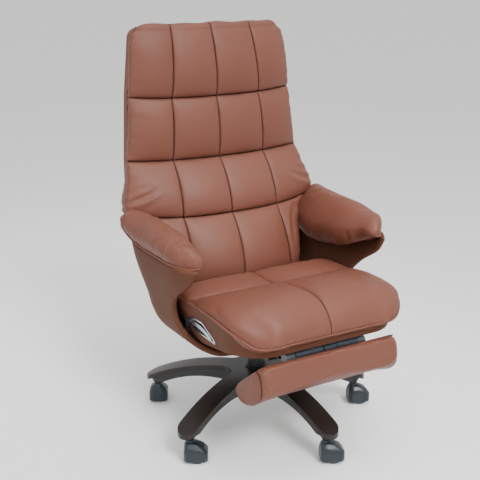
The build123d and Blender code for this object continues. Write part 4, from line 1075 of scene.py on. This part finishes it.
@dataclass(frozen=True)
class ArmPad:
    """Thick pad along the top of the arm, rolled over its inner side, with a blunt nose."""

    shape: ArmShape = ArmShape()
    stations: Row = (         # y of the values below
        -0.185, -0.172, -0.155, -0.135, -0.110, -0.085, -0.055, 0.040, 0.100, 0.150, 0.200)
    wide: Row = (
        0.048, 0.054, 0.062, 0.074, 0.089, 0.099, 0.105, 0.108, 0.108, 0.100, 0.082)
    crown_z: Row = (
        0.622, 0.625, 0.628, 0.632, 0.637, 0.642, 0.647, 0.653, 0.655, 0.654, 0.648)
    inner_z: Row = (
        0.571, 0.567, 0.561, 0.551, 0.540, 0.528, 0.517, 0.505, 0.504, 0.513, 0.540)
    run_out: Pairs = (       # y and x of the edge past the shell's turn
        (0.060, 0.3405), (0.100, 0.3425), (0.150, 0.3455), (0.183, 0.3470), (0.200, 0.3440))
    climb: Pairs = (         # y and rise of the outer edge over the shell
        (0.060, 0.0), (0.100, 0.004), (0.150, 0.020), (0.183, 0.036), (0.200, 0.044))
    blunt: float = 0.046            # length of the rounded ends
    set_in: float = 0.009           # how far the nose stands back from the shell's lip
    marks: Row = (0, 0.10, 0.24, 0.50, 0.78, 0.92, 1.0)     # places round the roll
    foot_marks: Row = (0, 0.35, 1)                          # and along the underside
    rows: int = 84
    columns: int = 40
    cord: float = 0.0032
    filling: Filling = Filling(pressure=4.0, slack=0.02, cap=8 * MM)

    def outer_edge(self, y: Array) -> ArrayPair:
        """The x and z of the pad's outer edge, on the shell and past the shell's turn."""
        last = np.full(len(y), 8.0)
        free, rise = np.array(self.run_out), np.array(self.climb)
        x = self.shape.x[-1] - self.shape.inward(y, last)
        share = unit((y - 0.02) / 0.05)
        x = x * (1 - share) + through(y, free[:, 0], free[:, 1]) * share
        x -= self.set_in * unit((-0.09 - y) / 0.07) ** 2
        z = self.shape.z[-1] + 0.003 + through(y, rise[:, 0], rise[:, 1])
        return x, z - self.shape.dip(y, last)

    def section(self, outer_x: float, wide: float, top: float, crown: float,
                low: float) -> ArrayPair:
        """Lay out one cross-section.

        Args:
            outer_x: x of the outer edge.
            wide: Width from there to the inner side.
            top: z of the outer edge.
            crown: z of the crown.
            low: z of the inner side's lower edge.

        Returns:
            Rows of x and z, round the roll and along the underside.
        """
        inner_x = outer_x - wide
        tall, drop = crown - top, crown - low
        angle = np.linspace(0, 1, self.columns)
        xs = (outer_x - 0.005, outer_x + 0.001, outer_x - 0.003, inner_x + wide * 0.56,
              inner_x - 0.001, inner_x + 0.003, inner_x + 0.018)
        zs = (top, top + tall * 0.36, top + tall * 0.76, crown, low + drop * 0.42,
              low + drop * 0.10, low)
        ledge = outer_x - min(self.shape.wall + 0.003, wide * 0.45)
        foot = ((outer_x - 0.006, ledge, inner_x + 0.023), (top - 0.001, top - 0.001, low + 0.003))
        return (np.stack([through(angle, self.marks, v) for v in (xs, zs)], 1),
                np.stack([np.interp(angle, self.foot_marks, v) for v in foot], 1))

    def sheets(self) -> ArrayPair:
        """Lay out the pad's rolled top and its underside."""
        ends = self.stations
        t = np.linspace(0, 1, self.rows)
        y = ends[0] + (ends[-1] - ends[0]) * (0.12 * t + 0.88 * (1 - np.cos(np.pi * t)) / 2)
        wide, crown, low = (np.interp(y, ends, v) for v in (self.wide, self.crown_z, self.inner_z))
        outer_x, top = self.outer_edge(y)
        inner_x = outer_x - wide
        sheets = np.empty((2, self.rows, self.columns, 3))
        sheets[:, :, :, 1] = y[:, None]
        for k in range(self.rows):
            rear = dome((ends[-1] - y[k]) / self.blunt, 2.2, 0.10)
            nose = dome((y[k] - ends[0]) / self.blunt, 2.4, 0.08)
            middle = (outer_x[k] + inner_x[k]) / 2
            heart = (low[k] + top[k]) / 2          # the nose rounds off about this height
            heart += 0.14 * (crown[k] - heart)
            section = self.section(outer_x[k], wide[k], top[k], crown[k], low[k])
            for sheet, row in zip(sheets, section):
                x, z = row.T
                base = np.interp(x, (inner_x[k], outer_x[k]), (low[k], top[k]))
                z = base + (z - base) * rear
                x = middle + (x - middle) * (0.55 + 0.45 * rear)
                sheet[k, :, 2] = heart + (z - heart) * nose
                sheet[k, :, 0] = middle + (x - middle) * nose
        return sheets[0], sheets[1]

    def folds(self, flip: Array) -> list[Fold]:
        """Soft wrinkles where the pad meets the back, on its inner side."""
        return folded((
            (((0.246, 0.176, 0.600), (0.262, 0.120, 0.640), (0.290, 0.086, 0.655)), 0.0030, 0.007),
            (((0.238, 0.150, 0.575), (0.247, 0.095, 0.620), (0.268, 0.060, 0.648)), 0.0024, 0.007),
            (((0.236, 0.120, 0.552), (0.238, 0.070, 0.592), (0.250, 0.030, 0.628)), 0.0020, 0.007),
            (((0.238, 0.086, 0.540), (0.236, 0.040, 0.575), (0.243, 0.004, 0.606)), 0.0015, 0.007),
            (((0.300, 0.190, 0.632), (0.318, 0.150, 0.630)), 0.0016, 0.006),
        ), flip)

    def build(self, side: Side, palette: Palette) -> None:
        """Model, fill and sew one pad and lay its piping."""
        name = "arm_pad_" + side.name.lower()
        flip = np.array((side.value, 1, 1))
        outer, inner = (sheet * flip for sheet in self.sheets())
        held, seam = np.zeros(outer.shape[:2]), np.zeros(outer.shape[:2])
        held[:, 0], held[:, -1], held[0] = 1, 1, 1
        # the outer edge column is marked as a seam, so the leather is painted darker there as shade
        # under the piping
        seam[:, 0] = 1
        piece = sew(name + "_sewn", (outer, inner), seam, held, self.filling)
        press_folds(piece, self.folds(flip))
        hand_over(piece, "back", palette.leather, (name,))
        line = outer[1:-4, 0] + np.array((side.value * 0.0012, -0.001, -0.0005))
        under = outer[16:0:-1, -1]      # the cord turns in under the nose
        cord = piping(name + "_piping", np.concatenate((under, line)), self.cord)
        hand_over(cord, "back", palette.leather)


@dataclass(frozen=True)
class SeatShadeLiner:
    """Black panel that closes the seat's side behind the wrapped panel; its black is painted shade
    for the crevice between the shell and the seat.
    """

    x: float = 0.252
    y: tuple[float, float] = (-0.058, 0.038)
    z: tuple[float, float] = (0.357, 0.438)
    thick: float = 0.004
    corner: float = 0.014
    edge: float = 0.0012            # bevel of the rim
    flat_deg: float = 40.0          # edges duller than this are shaded smooth

    def build(self, side: Side, palette: Palette) -> None:
        """Model one panel."""
        deselect_all()
        size = (self.thick, self.y[1] - self.y[0], self.z[1] - self.z[0])
        bpy.ops.mesh.primitive_cube_add(
            size=1, location=(side.value * self.x, sum(self.y) / 2, sum(self.z) / 2), scale=size)
        piece = bpy.context.object
        piece.name = "seat_shade_liner_" + side.name.lower()
        bpy.ops.object.transform_apply(location=True, rotation=True, scale=True)
        co = places(piece)
        for edge in piece.data.edges:
            a, b = co[list(edge.vertices)]
            edge.select = abs(a[0] - b[0]) > self.thick / 2
        for face in piece.data.polygons:
            face.select = False
        bpy.ops.object.mode_set(mode="EDIT")
        bpy.ops.mesh.select_mode(type="EDGE")
        bpy.ops.mesh.bevel(offset=self.corner, segments=6, affect="EDGES")
        bpy.ops.object.mode_set(mode="OBJECT")
        bevel = piece.modifiers.new("edge", "BEVEL")
        bevel.width = self.edge
        bevel.segments = 3
        apply_all(piece)
        bpy.ops.object.shade_smooth_by_angle(angle=math.radians(self.flat_deg))
        # black here is painted shade for the crevice between shell and seat
        hand_over(piece, "seat", palette.frame_nylon)


@dataclass(frozen=True)
class FootrestPad:
    """The stowed bolster under the seat's front, with sewn-in end panels."""

    edge: tuple[float, float] = (-0.378, 0.357)     # y, z of its front top edge
    tilt_deg: float = 42.4
    half: float = 0.217
    outline: Pairs = (       # down and out, round the padded side
        (0.010, -0.003), (0.003, 0.003), (0.003, 0.012), (0.011, 0.029), (0.025, 0.046),
        (0.046, 0.059), (0.074, 0.063), (0.106, 0.060), (0.138, 0.052), (0.166, 0.040),
        (0.186, 0.024), (0.194, 0.008), (0.192, -0.003), (0.184, -0.009))
    rear_at: Row = (0.018, 0.052, 0.105, 0.158, 0.186)
    rear: Row = (-0.006, -0.0092, -0.013, -0.015, -0.009)     # back of its board
    cover: float = 0.0006           # leather over the board
    centre: tuple[float, float] = (0.100, 0.026)       # the end panels close in on this
    caps: Row = (0.22, 0.52, 0.78, 0.93)      # size of the end panels' rings
    long: float = 0.19              # of the section, from top to foot
    rows: int = 76
    columns: int = 50
    nose: float = 0.007             # how far the end panels bulge
    corner: float = 0.030           # rounding of the ends, seen from the front
    filling: Filling = Filling(pressure=3.0, slack=0.008, cap=6 * MM)

    def place(self, down: Array, out: Array) -> ArrayPair:
        """Turn places on the pad's section into y and z.

        Args:
            down: How far down the stowed pad, from its front top edge.
            out: How far out on its padded side.

        Returns:
            y and z.
        """
        tilt = math.radians(self.tilt_deg)
        y = self.edge[0] + down * math.cos(tilt) - out * math.sin(tilt)
        z = self.edge[1] - down * math.sin(tilt) - out * math.cos(tilt)
        return y, z

    def sheets(self) -> ArrayPair:
        """Lay out the padded side and the board's back, ring by ring from end to end."""
        down, out = along_line(np.linspace(0, 1, self.columns), self.outline)
        back = np.minimum(np.interp(down, self.rear_at, self.rear) - self.cover, out)
        rings = [(-self.half - self.nose * (1 - s**2) ** 0.5, s) for s in self.caps]
        rings += [(x, 1.0) for x in (eased((self.rows,), 0.7) * 2 - 1) * self.half]
        rings += [(-x, s) for x, s in rings[:len(self.caps)][::-1]]
        sheets = np.empty((2, len(rings), self.columns, 3))
        for k, (x, s) in enumerate(rings):
            turn = min(1.0, max(0.0, 1 - (self.half - abs(x)) / self.corner))
            inset = 0.75 * self.corner * (1 - (1 - turn**2) ** 0.5)
            span = 1 - 2 * inset / self.long
            for sheet, high in zip(sheets, (out, back)):
                y, z = self.place(self.centre[0] + (down - self.centre[0]) * s * span,
                                  high * s + self.centre[1] * (1 - s))
                sheet[k] = np.stack((np.full(self.columns, x), y, z), 1)
        return sheets[0], sheets[1]

    def build(self, palette: Palette) -> None:
        """Model, fill and sew the pad."""
        outer, inner = self.sheets()
        seam = np.zeros(outer.shape[:2])
        seam[len(self.caps)], seam[-len(self.caps) - 1] = 1, 1
        held = seam.copy()
        held[0] = 1
        piece = sew("footrest_pad_sewn", (outer, inner), seam, held, self.filling)
        draw_in(piece, 1.0 * MM)
        hand_over(piece, "footrest", palette.leather,
                 ("footrest_pad", "footrest_board"))


# ---- CAD nodes ----
@dataclass(frozen=True)
class CadDress:
    """Finishes for the nodes whose CAD shape is the finished one."""

    palette: Palette

    def groups(self) -> dict[str, Material]:
        """Which finish each kept node gets, by the start of its name."""
        p = self.palette
        names = (
            (p.base_moulding, "star_cover"),
            (p.frame_nylon, "star_frame guide_bush"),
            (p.caster_nylon, "caster_hood"),
            (p.caster_tread, "caster_wheel"),
            (p.plain_steel, "caster_stems caster_axle thrust_bearing piston_rod rod_clip"),
            (p.plain_steel, "pivot_shaft slide_rails spring_rod"),
            (p.black_enamel, "stand_tube pressure_tube chassis mounting_plate"),
            (p.black_enamel, "footrest_guides back_bracket spring_cylinder"),
            (p.tube_enamel, "cross_tube"),
            (p.hinge_plastic, "latch_frame hinge_plate"),
            (p.chrome, "handle_bezel recline_paddle lift_paddle"),
            (p.plywood, "seat_pan back_frame"),
            # the fascia and shells take the darker copy of the leather: painted shade
            (p.side_leather, "seat_fascia footrest_board arm_shell"),
            (p.leather, "seat_cushion footrest_pad back_cover back_cushion arm_pad"),
        )
        return {start: finish for finish, starts in names for start in starts.split()}

    def build(self) -> None:
        """Put the finishes on the nodes."""
        groups = self.groups()
        for name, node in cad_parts.items():
            start = next(key for key in groups if name.startswith(key))
            while len(node.material_slots) < 1:
                node.data.materials.append(None)
            for slot in node.material_slots:
                slot.material = groups[start]
        LOG.info("dressed %d CAD nodes", len(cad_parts))


# ---- studio ----
@dataclass(frozen=True)
class Panel:
    """A square soft light: its place, side in metres, watts and how wide it throws."""

    name: str
    at: Point
    size: float
    power: float
    spread_deg: float = 180.0


@dataclass(frozen=True)
class Studio:
    """Camera at the photograph's viewpoint, pale floor and soft lights."""

    camera_at: Point = (-1.3370, -2.1600, 1.3313)
    looks_at: Point = (-0.04203, 0.02491, 0.56035)
    lens_mm: float = 69.37
    sensor_mm: float = 36.0
    ambient: float = 1.0
    floor_m: float = 160.0          # wide enough to leave no horizon line in the picture
    fibres_per_m: float = 40.0
    aim: Point = (0.0, -0.1, 0.5)
    panels: tuple[Panel, ...] = (
        Panel("key_panel", (-0.1, -2.5, 2.7), 1.5, 9.5, 32),
        Panel("right_panel", (3.0, -0.6, 2.0), 2.2, 12.0),
        Panel("left_panel", (-2.6, -1.7, 2.1), 1.6, 22.0),
        Panel("top_panel", (0.1, -0.6, 3.8), 2.6, 80.0),
    )

    @staticmethod
    def point(thing: Piece, at: Point, towards: Point) -> None:
        """Put a camera or a lamp at a place and turn it towards another."""
        thing.location = at
        thing.rotation_mode = "QUATERNION"
        thing.rotation_quaternion = (Vector(towards) - Vector(at)).to_track_quat("-Z", "Y")

    def camera(self) -> None:
        """Place the camera."""
        data = bpy.data.cameras.new("viewpoint")
        data.lens = self.lens_mm
        data.sensor_width = self.sensor_mm
        eye = add_object("viewpoint", data)
        self.point(eye, self.camera_at, self.looks_at)
        bpy.context.scene.camera = eye

    def floor(self) -> None:
        """Lay the pale floor."""
        deselect_all()
        bpy.ops.mesh.primitive_plane_add(size=self.floor_m, location=(0, 0, 0))
        ground = bpy.context.object
        ground.name = "studio_floor"
        paper = Shading("matt_white_paper")      # flat white with no gloss, as a studio roll gives
        colour = paper.mixed(paper.noise(self.fibres_per_m), "#F6F6F5", "#FBFBFA")
        ground.data.materials.append(paper.finish({"Roughness": 0.9}, {"Base Color": colour}))

    def lights(self) -> None:
        """Hang the soft panels and light the room evenly."""
        for panel in self.panels:
            data = bpy.data.lights.new(panel.name, "AREA")
            data.size = panel.size
            data.energy = panel.power
            data.spread = math.radians(panel.spread_deg)
            self.point(add_object(panel.name, data), panel.at, self.aim)
        world = bpy.data.worlds.new("white_room")
        world.use_nodes = True
        sky = world.node_tree.nodes["Background"]
        sky.inputs[0].default_value = to_linear("#FFFFFF")
        sky.inputs[1].default_value = self.ambient
        bpy.context.scene.world = world

    def build(self) -> None:
        """Set up the whole studio."""
        self.camera()
        self.floor()
        self.lights()


def main() -> None:
    """Build the studio, the finishes and each sub-assembly in order."""
    logging.basicConfig(level=logging.INFO, format="%(name)s: %(message)s")
    Studio().build()
    palette = Palette()
    CadDress(palette).build()
    BackCushion().build(palette)
    SeatCushion().build(palette)
    for side in Side:
        ArmShell().build(side, palette)
        ArmPad().build(side, palette)
        SeatShadeLiner().build(side, palette)
    FootrestPad().build(palette)


if __name__ == "__main__":
    main()
